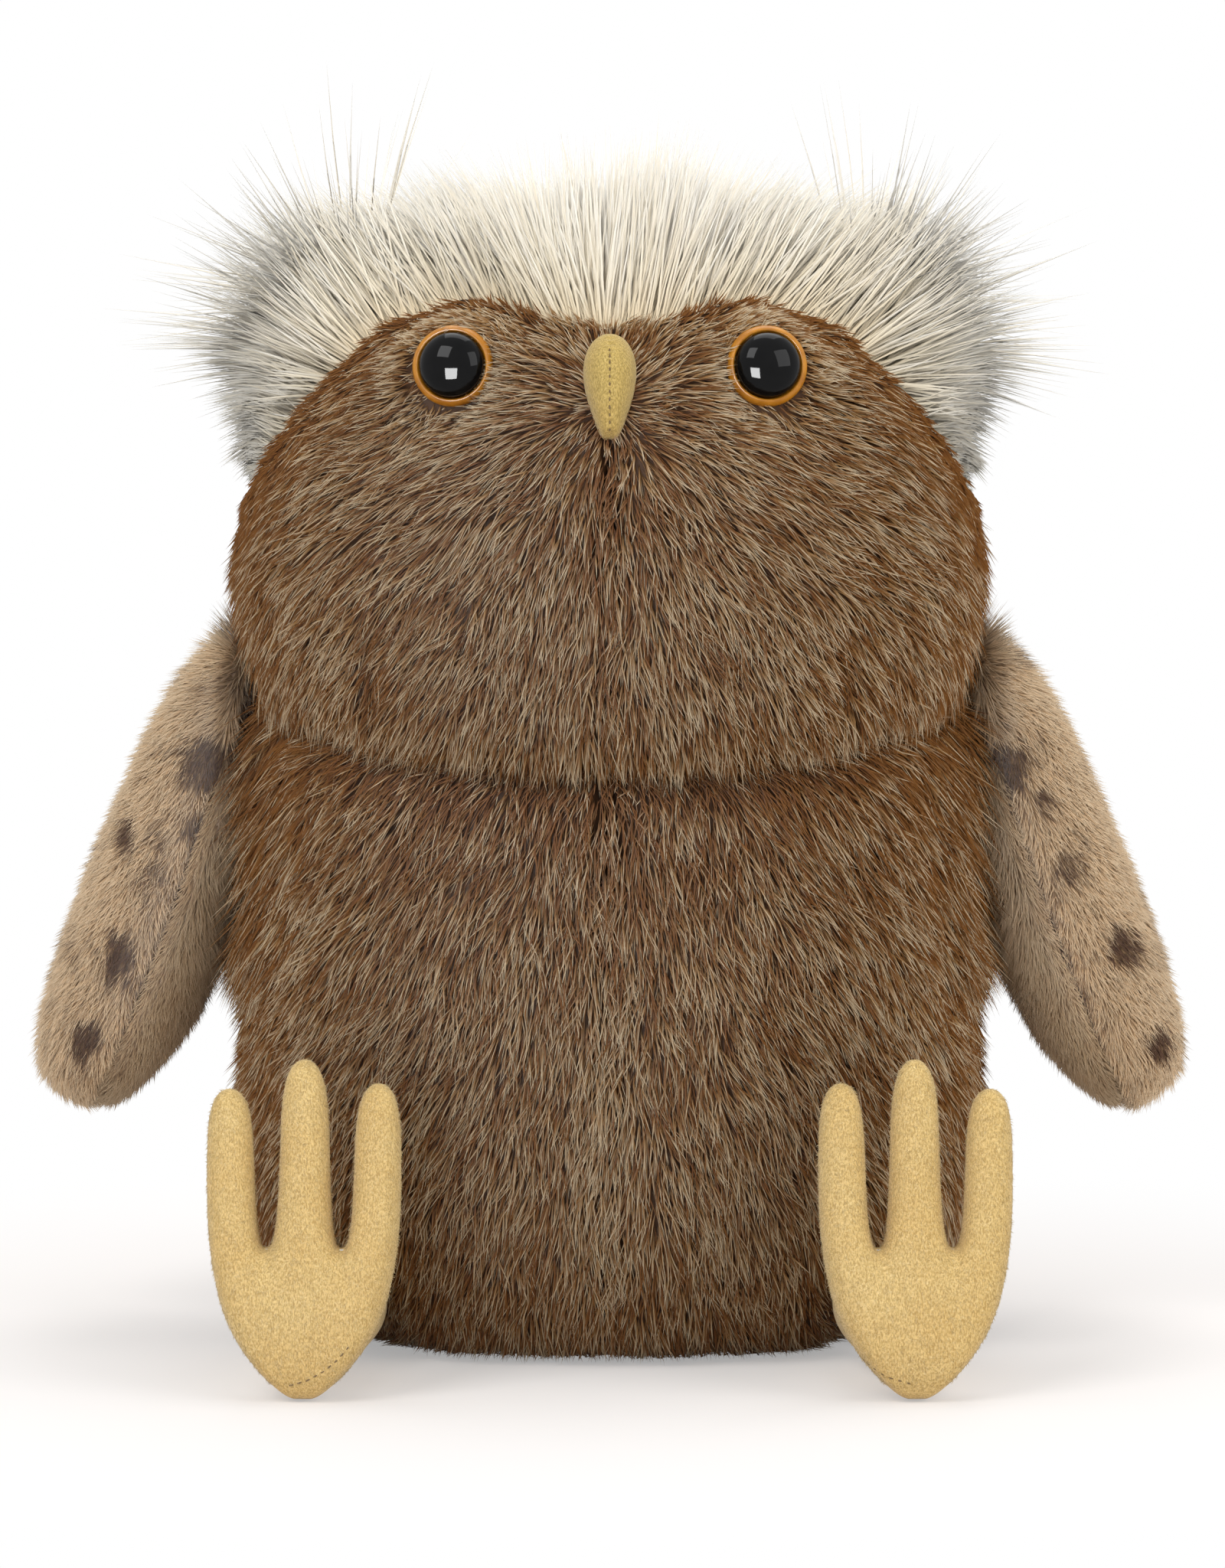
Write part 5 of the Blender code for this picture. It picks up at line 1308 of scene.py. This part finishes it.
def suede_group():
    """Suede's colour, nap and fine height on Object coordinates."""
    group = bpy.data.node_groups.new("suede_nap", "ShaderNodeTree")
    for name in ("Deep", "Colour", "Pale"):
        group.interface.new_socket(name=name, in_out="INPUT", socket_type="NodeSocketColor")
    socket = group.interface.new_socket(name="Nap Size", in_out="INPUT", socket_type="NodeSocketFloat")
    socket.default_value = 0.0005
    group.interface.new_socket(name="Color", in_out="OUTPUT", socket_type="NodeSocketColor")
    group.interface.new_socket(name="Height", in_out="OUTPUT", socket_type="NodeSocketFloat")
    group.interface.new_socket(name="Roughness", in_out="OUTPUT", socket_type="NodeSocketFloat")
    t = Tree(group)
    inputs = t.add("NodeGroupInput").outputs
    place = t.add("ShaderNodeTexCoord").outputs["Object"]
    scale = t.math("DIVIDE", 1.0, inputs["Nap Size"])
    nap = t.add("ShaderNodeTexNoise", {"Vector": place, "Scale": scale, "Detail": 3.0,
        "Roughness": 0.65}).outputs["Fac"]
    flecks = t.add("ShaderNodeTexNoise", {"Vector": t.vector("MULTIPLY", place, (1.0, 1.0, 0.45)),
        "Scale": t.math("MULTIPLY", scale, 1.7), "Detail": 2.0}).outputs["Fac"]
    clouds = t.add("ShaderNodeTexNoise", {"Vector": place, "Scale": 70.0, "Detail": 3.0}).outputs["Fac"]
    colour = t.mixed(t.add("ShaderNodeMapRange", {"Value": flecks, "From Min": 0.36, "From Max": 0.62}).outputs[0],
        inputs["Deep"], inputs["Colour"])
    colour = t.mixed(t.add("ShaderNodeMapRange", {"Value": nap, "From Min": 0.55, "From Max": 0.75,
        "To Max": 0.8}).outputs[0], colour, inputs["Pale"])
    warm = t.ramp(clouds, ((0.35, (0.97, 0.93, 0.86)), (0.65, (1.0, 1.0, 1.0))))
    colour = t.mixed(1.0, colour, warm, "MULTIPLY")
    height = t.math("MULTIPLY_ADD", flecks, 0.6, t.math("MULTIPLY", nap, 0.5))
    rough = t.math("MULTIPLY_ADD", nap, 0.15, 0.78)
    t.add("NodeGroupOutput", {"Color": colour, "Height": height, "Roughness": rough})
    return group


def suede_material(name, deep, colour, pale, nap_size):
    made, t, shader = material_of(name)
    group = t.add("ShaderNodeGroup")
    group.node_tree = shared("suede_nap", suede_group)
    for key, value in (("Deep", deep), ("Colour", colour), ("Pale", pale)):
        group.inputs[key].default_value = (*value, 1.0)
    group.inputs["Nap Size"].default_value = nap_size
    t.put(group.outputs["Color"], shader.inputs["Base Color"])
    t.put(group.outputs["Roughness"], shader.inputs["Roughness"])
    bump = t.add("ShaderNodeBump", {"Height": group.outputs["Height"], "Distance": 0.0004, "Strength": 0.7}).outputs[0]
    t.put(bump, shader.inputs["Normal"])
    shader.inputs["Specular IOR Level"].default_value = 0.2
    shader.inputs["Sheen Weight"].default_value = 0.25
    shader.inputs["Sheen Roughness"].default_value = 0.4
    return made


NAP_FUR = {
    "length_spread": 0.6, "rise": 0.35, "scatter": 0.9, "wave": 0.9, "wave_size": 0.004, "bend": 0.3,
    "lock_size": 0.002, "lock_pull": 0.0, "tuft_size": 0.008, "tuft_pull": 0.0,
    "tone_size": 0.0030, "tone_patches": 0.3, "tone_spread": 1.0, "skin_light": 0.6,
}


def nap_on(settings, obj, name, body, material, shoot, seed, keep=None):
    """Short loose fibres that stand off a suede piece, as a mesh of their own."""
    skin = new_object(name, obj.data.copy())
    normals, points = normal_array(skin.data), vertex_array(skin.data)
    thick = np.ones(len(points)) if keep is None else keep(points).astype(float)
    comb_skin(skin, normals, np.tile((0.2, 0.0, -1.0), (len(points), 1)), np.ones(len(points)), thick,
        np.full(len(points), 0.5))
    empty = new_object(name + "_no_backing", mesh_of(name + "_no_backing", [], []))
    grown(skin, empty, shoot, material, seed=seed, **fur_values(settings, NAP_FUR))
    return finish_piece(skin, name, body)


def foot_cage():
    """The cage of the left foot about its heel, with its sole towards -Y."""
    half_width, half_thick = FOOT["width"] / 2 * FOOT["cage"], FOOT["thick"] / 2 * FOOT["cage"]
    bm = bmesh.new()

    def pair(x, z, thickness):
        reach = half_thick * thickness
        return bm.verts.new((x, -reach, z)), bm.verts.new((x, reach, z))

    palm = []
    for height, width, thickness in PALM_ROWS:
        palm.append([pair(half_width * width * edge, FOOT["height"] * height, thickness) for edge in TOE_EDGES])
    for low, high in zip(palm, palm[1:]):
        for i in range(len(low) - 1):
            bm.faces.new((low[i][0], low[i + 1][0], high[i + 1][0], high[i][0]))
            bm.faces.new((low[i + 1][1], low[i][1], high[i][1], high[i + 1][1]))
        bm.faces.new((low[0][1], low[0][0], high[0][0], high[0][1]))
        bm.faces.new((low[-1][0], low[-1][1], high[-1][1], high[-1][0]))
    heel, top = palm[0], palm[-1]
    for i in range(len(heel) - 1):
        bm.faces.new((heel[i][0], heel[i][1], heel[i + 1][1], heel[i + 1][0]))
    for i in (1, 3):
        bm.faces.new((top[i][0], top[i + 1][0], top[i + 1][1], top[i][1]))
    for toe, rows in enumerate(TOE_ROWS):
        below = [top[2 * toe], top[2 * toe + 1]]
        for height, middle, half, thickness in rows:
            above = [pair(half_width * (middle + sign * half), FOOT["height"] * height, thickness) for sign in (-1, 1)]
            (lf, lb), (rf, rb), (tlf, tlb), (trf, trb) = *below, *above
            for corners in ((lf, rf, trf, tlf), (rb, lb, tlb, trb), (lb, lf, tlf, tlb), (rf, rb, trb, trf)):
                bm.faces.new(corners)
            below = above
        (lf, lb), (rf, rb) = below
        bm.faces.new((lf, rf, rb, lb))
    bmesh.ops.recalc_face_normals(bm, faces=bm.faces)
    mesh = bpy.data.meshes.new("foot")
    bm.to_mesh(mesh)
    bm.free()
    return new_object("foot", mesh)


def leg_way():
    return Vector((math.sin(LEG["splay"]), -math.cos(LEG["splay"]), 0))


def foot_place(hip):
    """The left foot's turn and place, its heel on the floor."""
    turn = Matrix.Rotation(FOOT["splay"], 4, "Z") @ Matrix.Rotation(-FOOT["lean"], 4, "X")
    probe = foot_cage()
    surface = probe.modifiers.new("smooth", "SUBSURF")
    surface.levels = surface.render_levels = 1
    settled(probe)
    low = min((turn @ vertex.co).z for vertex in probe.data.vertices)
    drop(probe)
    end = hip + leg_way() * LEG["reach"]
    return Matrix.Translation((end.x, end.y - FOOT["thick"] / 2 + SUEDE_WALL, -low - 0.0005)) @ turn


# The closed seam at the inner lower edge of each foot: places across and up, in metres
FOOT_SEAMS = {
    1: ((0.0488, 0.0200), (0.0508, 0.0148), (0.0545, 0.0100), (0.0600, 0.0064), (0.0655, 0.0047)),
    -1: ((0.0570, 0.0128), (0.0592, 0.0102), (0.0622, 0.0076), (0.0660, 0.0054), (0.0698, 0.0042)),
}


def thread_material(settings):
    return cloth_material("dark_thread", settings.thread, tuple(0.6 * c for c in settings.thread), 4000.0)


def build_legs(settings, fuzz):
    suede = suede_material("yellow_suede_cloth", settings.deep, settings.colour, settings.pale, settings.nap_size)
    thread = thread_material(settings)
    nap = fibre_material("yellow_suede_nap", fuzz, 0.5, 0.35, 0.2, 0.1)
    shoot = strand("nap_strand", [(0.0, 0.5)])
    hip = joint_place("left_leg_swing")
    place = foot_place(hip)
    ahead = leg_way()
    across, up = ahead.cross(Vector((0, 0, 1))), Vector((0, 0, 1))
    sections = []
    for climb in ROOT_CLIMBS:
        radius = LEG["radius"] * math.sqrt(1 - climb * climb)
        sections.append((hip + ahead * (LEG["radius"] * climb), across, up, (radius,) * 4))
    for share, swell in LEG_RINGS:
        sections.append((hip + ahead * (LEG["reach"] * share), across, up, (LEG["radius"] * swell,) * 4))
    for side, sign in (("left", 1), ("right", -1)):
        body = side + "_leg_and_foot"
        leg = smooth_form("leg", sections, hip - ahead * LEG["radius"],
            hip + ahead * (LEG["reach"] + LEG["radius"] * 0.2), 8, 2.0, 3)
        mirror_mesh(leg, sign)
        leg.data.materials.append(suede)
        finish_piece(leg, side + "_leg_suede", body, [side + "_leg"])
        foot = foot_cage()
        for vertex in foot.data.vertices:
            if vertex.co.z < 0:
                vertex.co.z += 0.0014 * (2 * vertex.co.x / (FOOT["width"] * 0.22)) ** 2
        surface = foot.modifiers.new("smooth", "SUBSURF")
        surface.levels = surface.render_levels = 3
        settled(foot)
        foot.data.transform(place)
        filled_by_cloth(foot, 4.0, 0.0008, 0.0016)
        surface = foot.modifiers.new("smooth", "SUBSURF")
        surface.levels = surface.render_levels = 1
        settled(foot)
        mirror_mesh(foot, sign)
        points = vertex_array(foot.data)
        points[:, 2] = np.maximum(points[:, 2], 0.0002)
        foot.data.vertices.foreach_set("co", points.ravel())
        foot.data.shade_smooth()
        foot.data.materials.append(suede)
        finish_piece(foot, side + "_foot_suede", body, [side + "_foot_sole", side + "_foot_back"])
        nap_on(fuzz, foot, side + "_foot_nap", body, nap, shoot, 210 + sign, lambda p: p[:, 2] > 0.004)
        line = [(x * sign, z) for x, z in FOOT_SEAMS[sign]]
        points, outs = surface_line(foot, line)
        stitched(settings, side + "_foot_stitches", body, points, outs, thread, 300 + sign)
    drop(shoot)


# Beak


def beak_surface():
    """Where the beak starts on the face, the way down it and the way out of the face."""
    head = head_form(1)
    tree = BVHTree.FromPolygons([v.co for v in head.data.vertices], [tuple(f.vertices) for f in head.data.polygons])
    top = tree.ray_cast(Vector((0, -1, BEAK["top"])), Vector((0, 1, 0)))[0]
    below = tree.ray_cast(Vector((0, -1, BEAK["top"] - BEAK["length"])), Vector((0, 1, 0)))[0]
    drop(head)
    down = (below - top).normalized()
    ahead = Vector((1, 0, 0)).cross(down)
    return top, down, -ahead if ahead.y > 0 else ahead


def build_beak(settings):
    suede = suede_material("beak_suede", settings.beak_deep, settings.beak_colour, settings.beak_pale,
        settings.nap_size * 0.9)
    top, down, ahead = beak_surface()
    start = top - ahead * BEAK["sink"]
    sections = []
    for share, width, reach in BEAK_RINGS:
        reaches = (BEAK["half"] * width, BEAK["half"] * width, BEAK["reach"] * reach, BEAK["reach"] * reach)
        sections.append((start + down * (BEAK["length"] * share), Vector((1, 0, 0)), ahead, reaches))
    beak = smooth_form("beak", sections, start, start + down * BEAK["length"], 8, 2.0, 4)
    points, normals = vertex_array(beak.data), normal_array(beak.data)
    along = (points - np.array(start)) @ np.array(down)
    pinch = 0.65 + 0.35 * np.cos(2 * math.pi * along / settings.stitch_gap)
    groove = bell(points[:, 0], 0.0009) * pinch * ease(along, 0.001, 0.005) * (normals[:, 1] < 0)
    beak.data.vertices.foreach_set("co", (points - normals * (0.00055 * groove)[:, None]).ravel())
    beak.data.materials.append(suede)
    beak.data.shade_smooth()
    finish_piece(beak, "beak_suede", "torso", ["beak_cover"])
    ends = [start + down * (BEAK["length"] * share) for share in (0.14, 0.90)]
    points, outs = surface_line(beak, [(0.0, end.z) for end in ends], lift=0.00002)
    stitched(settings, "beak_stitches", "torso", points, outs, thread_material(settings), 310)


# Eyes


def lathe(name, profile, steps=64):
    """A closed solid turned about z from (radius, height) points that start and end on the axis."""
    bm = bmesh.new()
    rings = []
    for radius, height in profile:
        if radius < 1e-7:
            rings.append([bm.verts.new((0, 0, height))])
        else:
            rings.append([
                bm.verts.new((radius * math.cos(2 * math.pi * i / steps), radius * math.sin(2 * math.pi * i / steps),
                height))
                for i in range(steps)
            ])
    for upper, lower in zip(rings, rings[1:]):
        for i in range(steps):
            j = (i + 1) % steps
            corners = [upper[i % len(upper)], upper[j % len(upper)], lower[j % len(lower)], lower[i % len(lower)]]
            bm.faces.new(list(dict.fromkeys(corners)))
    bmesh.ops.recalc_face_normals(bm, faces=bm.faces)
    mesh = bpy.data.meshes.new(name)
    bm.to_mesh(mesh)
    bm.free()
    mesh.shade_smooth()
    return new_object(name, mesh)


def eye_material(name, colour, deep, roughness, shine):
    made, t, shader = material_of(name)
    place = t.add("ShaderNodeTexCoord").outputs["Object"]
    cloud = t.add("ShaderNodeTexNoise", {"Vector": place, "Scale": 260.0, "Detail": 3.0}).outputs["Fac"]
    t.put(t.ramp(cloud, ((0.3, deep), (0.7, colour))), shader.inputs["Base Color"])
    fine = t.add("ShaderNodeTexNoise", {"Vector": place, "Scale": 1500.0, "Detail": 2.0}).outputs["Fac"]
    t.put(t.math("MULTIPLY_ADD", fine, 0.04, roughness), shader.inputs["Roughness"])
    shader.inputs["Specular IOR Level"].default_value = shine
    return made


def build_eyes(settings):
    amber = eye_material("amber_plastic_disc", settings.amber, settings.amber_deep, 0.30, 0.3)
    black = eye_material("black_plastic_dome", settings.black, settings.black_deep, 0.03, 0.14)
    rim = EYE_RADIUS
    iris_profile = [
        (0, 0.0012), (PUPIL_RADIUS + 0.0002, 0.0012), (PUPIL_RADIUS + 0.0003, IRIS_THICKNESS * 0.95),
        (PUPIL_RADIUS + 0.0007, IRIS_THICKNESS * 1.04), (rim * 0.90, IRIS_THICKNESS * 1.0),
        (rim * 0.96, IRIS_THICKNESS * 0.84),
        (rim, IRIS_THICKNESS * 0.5), (rim, IRIS_THICKNESS * 0.1), (rim * 0.95, 0), (0.0021, 0), (0.0021, -0.0078),
        (0.0015, -0.0085), (0, -0.0085),
    ]
    arc = [math.radians(90 - 90 * k / 12) for k in range(13)]
    pupil_profile = [(PUPIL_RADIUS * math.cos(a), IRIS_THICKNESS + PUPIL_DOME * math.sin(a)) for a in arc]
    pupil_profile[0] = (0, IRIS_THICKNESS + PUPIL_DOME)
    pupil_profile += [(PUPIL_RADIUS, 0.0015), (0, 0.0015)]
    turn = Matrix.Translation(EYE_PLACE) @ EYE_AHEAD.to_track_quat("Z", "Y").to_matrix().to_4x4()
    for side, sign in (("left", 1), ("right", -1)):
        for name, profile, material, slot in (("iris", iris_profile, amber, "amber_plastic"),
            ("pupil", pupil_profile, black, "black_plastic")):
            solid = lathe(name, profile)
            solid.data.transform(turn)
            mirror_mesh(solid, sign)
            solid.data.materials.append(material)
            finish_piece(solid, side + "_eye_" + name + "_moulding", "torso", [side + "_eye_" + name])


# What is inside, and the base


def cloth_material(name, colour, deep, scale):
    made, t, shader = material_of(name)
    place = t.add("ShaderNodeTexCoord").outputs["Object"]
    noise = t.add("ShaderNodeTexNoise", {"Vector": place, "Scale": scale, "Detail": 4.0,
        "Roughness": 0.6}).outputs["Fac"]
    t.put(t.ramp(noise, ((0.35, deep), (0.65, colour))), shader.inputs["Base Color"])
    bump = t.add("ShaderNodeBump", {"Height": noise, "Distance": 0.0006, "Strength": 0.6}).outputs[0]
    t.put(bump, shader.inputs["Normal"])
    t.put(t.math("MULTIPLY_ADD", noise, 0.15, 0.8), shader.inputs["Roughness"])
    return made


def softened_copy(node, name, levels):
    """A merged copy of a CAD node with smoothed faces."""
    obj = new_object(name, frame["nodes"][node].data.copy())
    obj.data.materials.clear()
    bm = bmesh.new()
    bm.from_mesh(obj.data)
    bmesh.ops.remove_doubles(bm, verts=bm.verts, dist=0.00002)
    bm.to_mesh(obj.data)
    bm.free()
    surface = obj.modifiers.new("smooth", "SUBSURF")
    surface.levels = surface.render_levels = levels
    settled(obj)
    obj.data.shade_smooth()
    return obj


def build_inside(settings):
    fibre = cloth_material("white_fibre", settings.fibre, settings.fibre_deep, 900.0)
    lining = cloth_material("woven_lining", settings.lining, settings.lining_deep, 1600.0)
    brown = cloth_material("brown_base_cloth", settings.base, settings.base_deep, 1100.0)
    nylon = cloth_material("white_nylon_washer", settings.nylon, settings.nylon_deep, 700.0)
    fillings = (
        ("head_stuffing", "torso"), ("body_stuffing", "torso"), ("beak_stuffing", "torso"),
        ("left_wing_stuffing", "left_wing"),
        ("right_wing_stuffing", "right_wing"), ("left_foot_stuffing", "left_leg_and_foot"),
        ("right_foot_stuffing", "right_leg_and_foot"),
    )
    for node, body in fillings:
        filling = softened_copy(node, node + "_fibre", 1)
        filling.data.materials.append(fibre)
        finish_piece(filling, node + "_fibre", body, [node])
    bag = softened_copy("bean_bag", "bean_bag_cloth", 2)
    bag.data.materials.append(lining)
    finish_piece(bag, "bean_bag_cloth", "torso", ["bean_bag"])
    low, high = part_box("base_panel")
    half, middle, thick = (high - low) / 2, (high + low) / 2, high.z - low.z
    base = lathe("base", [(0, 0.75), (0.6, 0.95), (0.93, 1.0), (0.99, 0.8), (1.0, 0.5), (0.99, 0.15), (0.95, 0.0),
        (0, 0.0)], 72)
    base.data.transform(Matrix.Translation((middle.x, middle.y, low.z)) @ Matrix.Diagonal((half.x, half.y, thick, 1)))
    base.data.materials.append(brown)
    finish_piece(base, "base_cloth", "torso", ["base_panel"])
    for side in ("left", "right"):
        washer = frame["nodes"][side + "_eye_washer"]
        washer.data.materials.clear()
        washer.data.materials.append(nylon)


# Stage


def build_stage(settings):
    scene = bpy.context.scene
    mesh = mesh_of("floor", [(-3, -3, 0), (3, -3, 0), (3, 3, 0), (-3, 3, 0)], [(0, 1, 2, 3)])
    floor = new_object("floor", mesh)
    made, t, shader = material_of("studio_floor")
    shader.inputs["Base Color"].default_value = (*settings.floor, 1.0)
    shader.inputs["Roughness"].default_value = 0.9
    shader.inputs["Specular IOR Level"].default_value = 0.1
    rays = t.add("ShaderNodeLightPath").outputs
    seen = t.math("MAXIMUM", t.math("MAXIMUM", rays["Is Camera Ray"], rays["Is Glossy Ray"]),
        rays["Is Transmission Ray"])
    place = t.add("ShaderNodeTexCoord").outputs["Object"]
    far = t.vector("LENGTH", t.vector("MULTIPLY", place, (1.0, 1.2, 1.0)))
    fade = t.add("ShaderNodeMapRange", {"Value": far, "From Min": 0.10, "From Max": 0.34, "To Min": 0.35,
        "To Max": 1.0}, interpolation_type="SMOOTHSTEP")
    glow = t.add("ShaderNodeEmission", {"Color": (1, 1, 1, 1), "Strength": 1.0}).outputs[0]
    mix = t.add("ShaderNodeMixShader", {0: t.math("MULTIPLY", seen, fade.outputs[0]), 1: shader.outputs[0],
        2: glow}).outputs[0]
    t.put(mix, made.node_tree.nodes["Material Output"].inputs["Surface"])
    mesh.materials.append(made)

    world = bpy.data.worlds.new("studio")
    scene.world = world
    world.use_nodes = True
    t = Tree(world.node_tree)
    rays = t.add("ShaderNodeLightPath").outputs
    seen = t.math("MAXIMUM", t.math("MAXIMUM", rays["Is Camera Ray"], rays["Is Glossy Ray"]),
        rays["Is Transmission Ray"])
    strength = t.math("MULTIPLY_ADD", seen, 1.0 - settings.room, settings.room)
    background = world.node_tree.nodes["Background"]
    background.inputs["Color"].default_value = (1, 1, 1, 1)
    t.put(strength, background.inputs["Strength"])

    for name, place, size, power in (
        ("key", (-0.9, -1.3, 1.5), 0.9, settings.key),
        ("fill", (1.2, -1.0, 0.9), 1.0, settings.fill),
        ("top", (0.1, 0.5, 1.6), 1.2, settings.top),
        ("catch", (-0.16, -0.62, 0.14), 0.26, settings.catch),
    ):
        data = bpy.data.lights.new(name, "AREA")
        data.size = size
        data.energy = power
        lamp = bpy.data.objects.new(name, data)
        scene.collection.objects.link(lamp)
        lamp.location = place
        lamp.rotation_euler = (Vector((0, 0, 0.14)) - Vector(place)).to_track_quat("-Z", "Y").to_euler()
        lamp.visible_diffuse = name != "catch"

    data = bpy.data.cameras.new("camera")
    data.lens = 147.7
    data.sensor_width = 36.0
    data.clip_start = 0.05
    camera = bpy.data.objects.new("camera", data)
    scene.collection.objects.link(camera)
    tilt = math.radians(4.5)
    target = Vector((0.0006, 0.0, 0.1271))
    camera.location = target + Vector((0, -math.cos(tilt), math.sin(tilt))) * 1.5
    camera.rotation_euler = (target - camera.location).to_track_quat("-Z", "Y").to_euler()
    scene.camera = camera
    scene.view_settings.view_transform = "Standard"


# Add-on


class OWL_OT_inside(Operator):
    """Builds the fillings, the bean bag and the base panel, and finishes the eye washers"""

    bl_idname = "owl.inside"
    bl_label = "Fillings and Base"

    def execute(self, context):
        build_inside(context.scene.owl_inside)
        return {"FINISHED"}


class OWL_OT_brown_fur(Operator):
    """Grows the brown fur of the face, nape, belly and back"""

    bl_idname = "owl.brown_fur"
    bl_label = "Brown Fur"

    def execute(self, context):
        build_brown_fur(context.scene.owl_brown)
        return {"FINISHED"}


class OWL_OT_mane(Operator):
    """Grows the long cream mane"""

    bl_idname = "owl.mane"
    bl_label = "Mane"

    def execute(self, context):
        build_mane(context.scene.owl_mane)
        return {"FINISHED"}


class OWL_OT_wings(Operator):
    """Grows the wings' spotted and plain plush"""

    bl_idname = "owl.wings"
    bl_label = "Wings"

    def execute(self, context):
        build_wings(context.scene.owl_wings)
        return {"FINISHED"}


class OWL_OT_legs(Operator):
    """Builds the suede legs and feet with their fuzz and stitches"""

    bl_idname = "owl.legs"
    bl_label = "Legs and Feet"

    def execute(self, context):
        build_legs(context.scene.owl_suede, context.scene.owl_nap)
        return {"FINISHED"}


class OWL_OT_beak(Operator):
    """Builds the suede beak with its middle seam"""

    bl_idname = "owl.beak"
    bl_label = "Beak"

    def execute(self, context):
        build_beak(context.scene.owl_suede)
        return {"FINISHED"}


class OWL_OT_eyes(Operator):
    """Builds the amber discs and black domes of the eyes"""

    bl_idname = "owl.eyes"
    bl_label = "Eyes"

    def execute(self, context):
        build_eyes(context.scene.owl_eyes)
        return {"FINISHED"}


class OWL_OT_stage(Operator):
    """Sets up the floor, the lamps and the camera"""

    bl_idname = "owl.stage"
    bl_label = "Stage"

    def execute(self, context):
        build_stage(context.scene.owl_stage)
        return {"FINISHED"}


SETTINGS = {
    "owl_inside": OwlInside, "owl_brown": OwlBrownFur, "owl_mane": OwlMane, "owl_wings": OwlWingFur,
    "owl_suede": OwlSuede,
    "owl_nap": OwlNap, "owl_eyes": OwlEyes, "owl_stage": OwlStage,
}
OPERATORS = (OWL_OT_inside, OWL_OT_brown_fur, OWL_OT_mane, OWL_OT_wings, OWL_OT_legs, OWL_OT_beak, OWL_OT_eyes,
    OWL_OT_stage)


class OWL_PT_build(Panel):
    """Lists the owl's operators and settings"""

    bl_idname = "OWL_PT_build"
    bl_label = "Plush Owl"
    bl_space_type = "VIEW_3D"
    bl_region_type = "UI"
    bl_category = "Owl"

    def draw(self, context):
        for operator in OPERATORS:
            self.layout.operator(operator.bl_idname)
        for name, group in SETTINGS.items():
            box = self.layout.box()
            box.label(text=group.__doc__)
            for key in group.__annotations__:
                box.prop(getattr(context.scene, name), key)


CLASSES = (*SETTINGS.values(), *OPERATORS, OWL_PT_build)


def register():
    for made in CLASSES:
        bpy.utils.register_class(made)
    for name, group in SETTINGS.items():
        setattr(bpy.types.Scene, name, PointerProperty(type=group))


def unregister():
    for name in SETTINGS:
        delattr(bpy.types.Scene, name)
    for made in reversed(CLASSES):
        bpy.utils.unregister_class(made)


def main():
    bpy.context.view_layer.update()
    register()
    for operator in OPERATORS:
        getattr(bpy.ops.owl, operator.bl_idname.split(".")[1])()


if __name__ == "__main__":
    main()
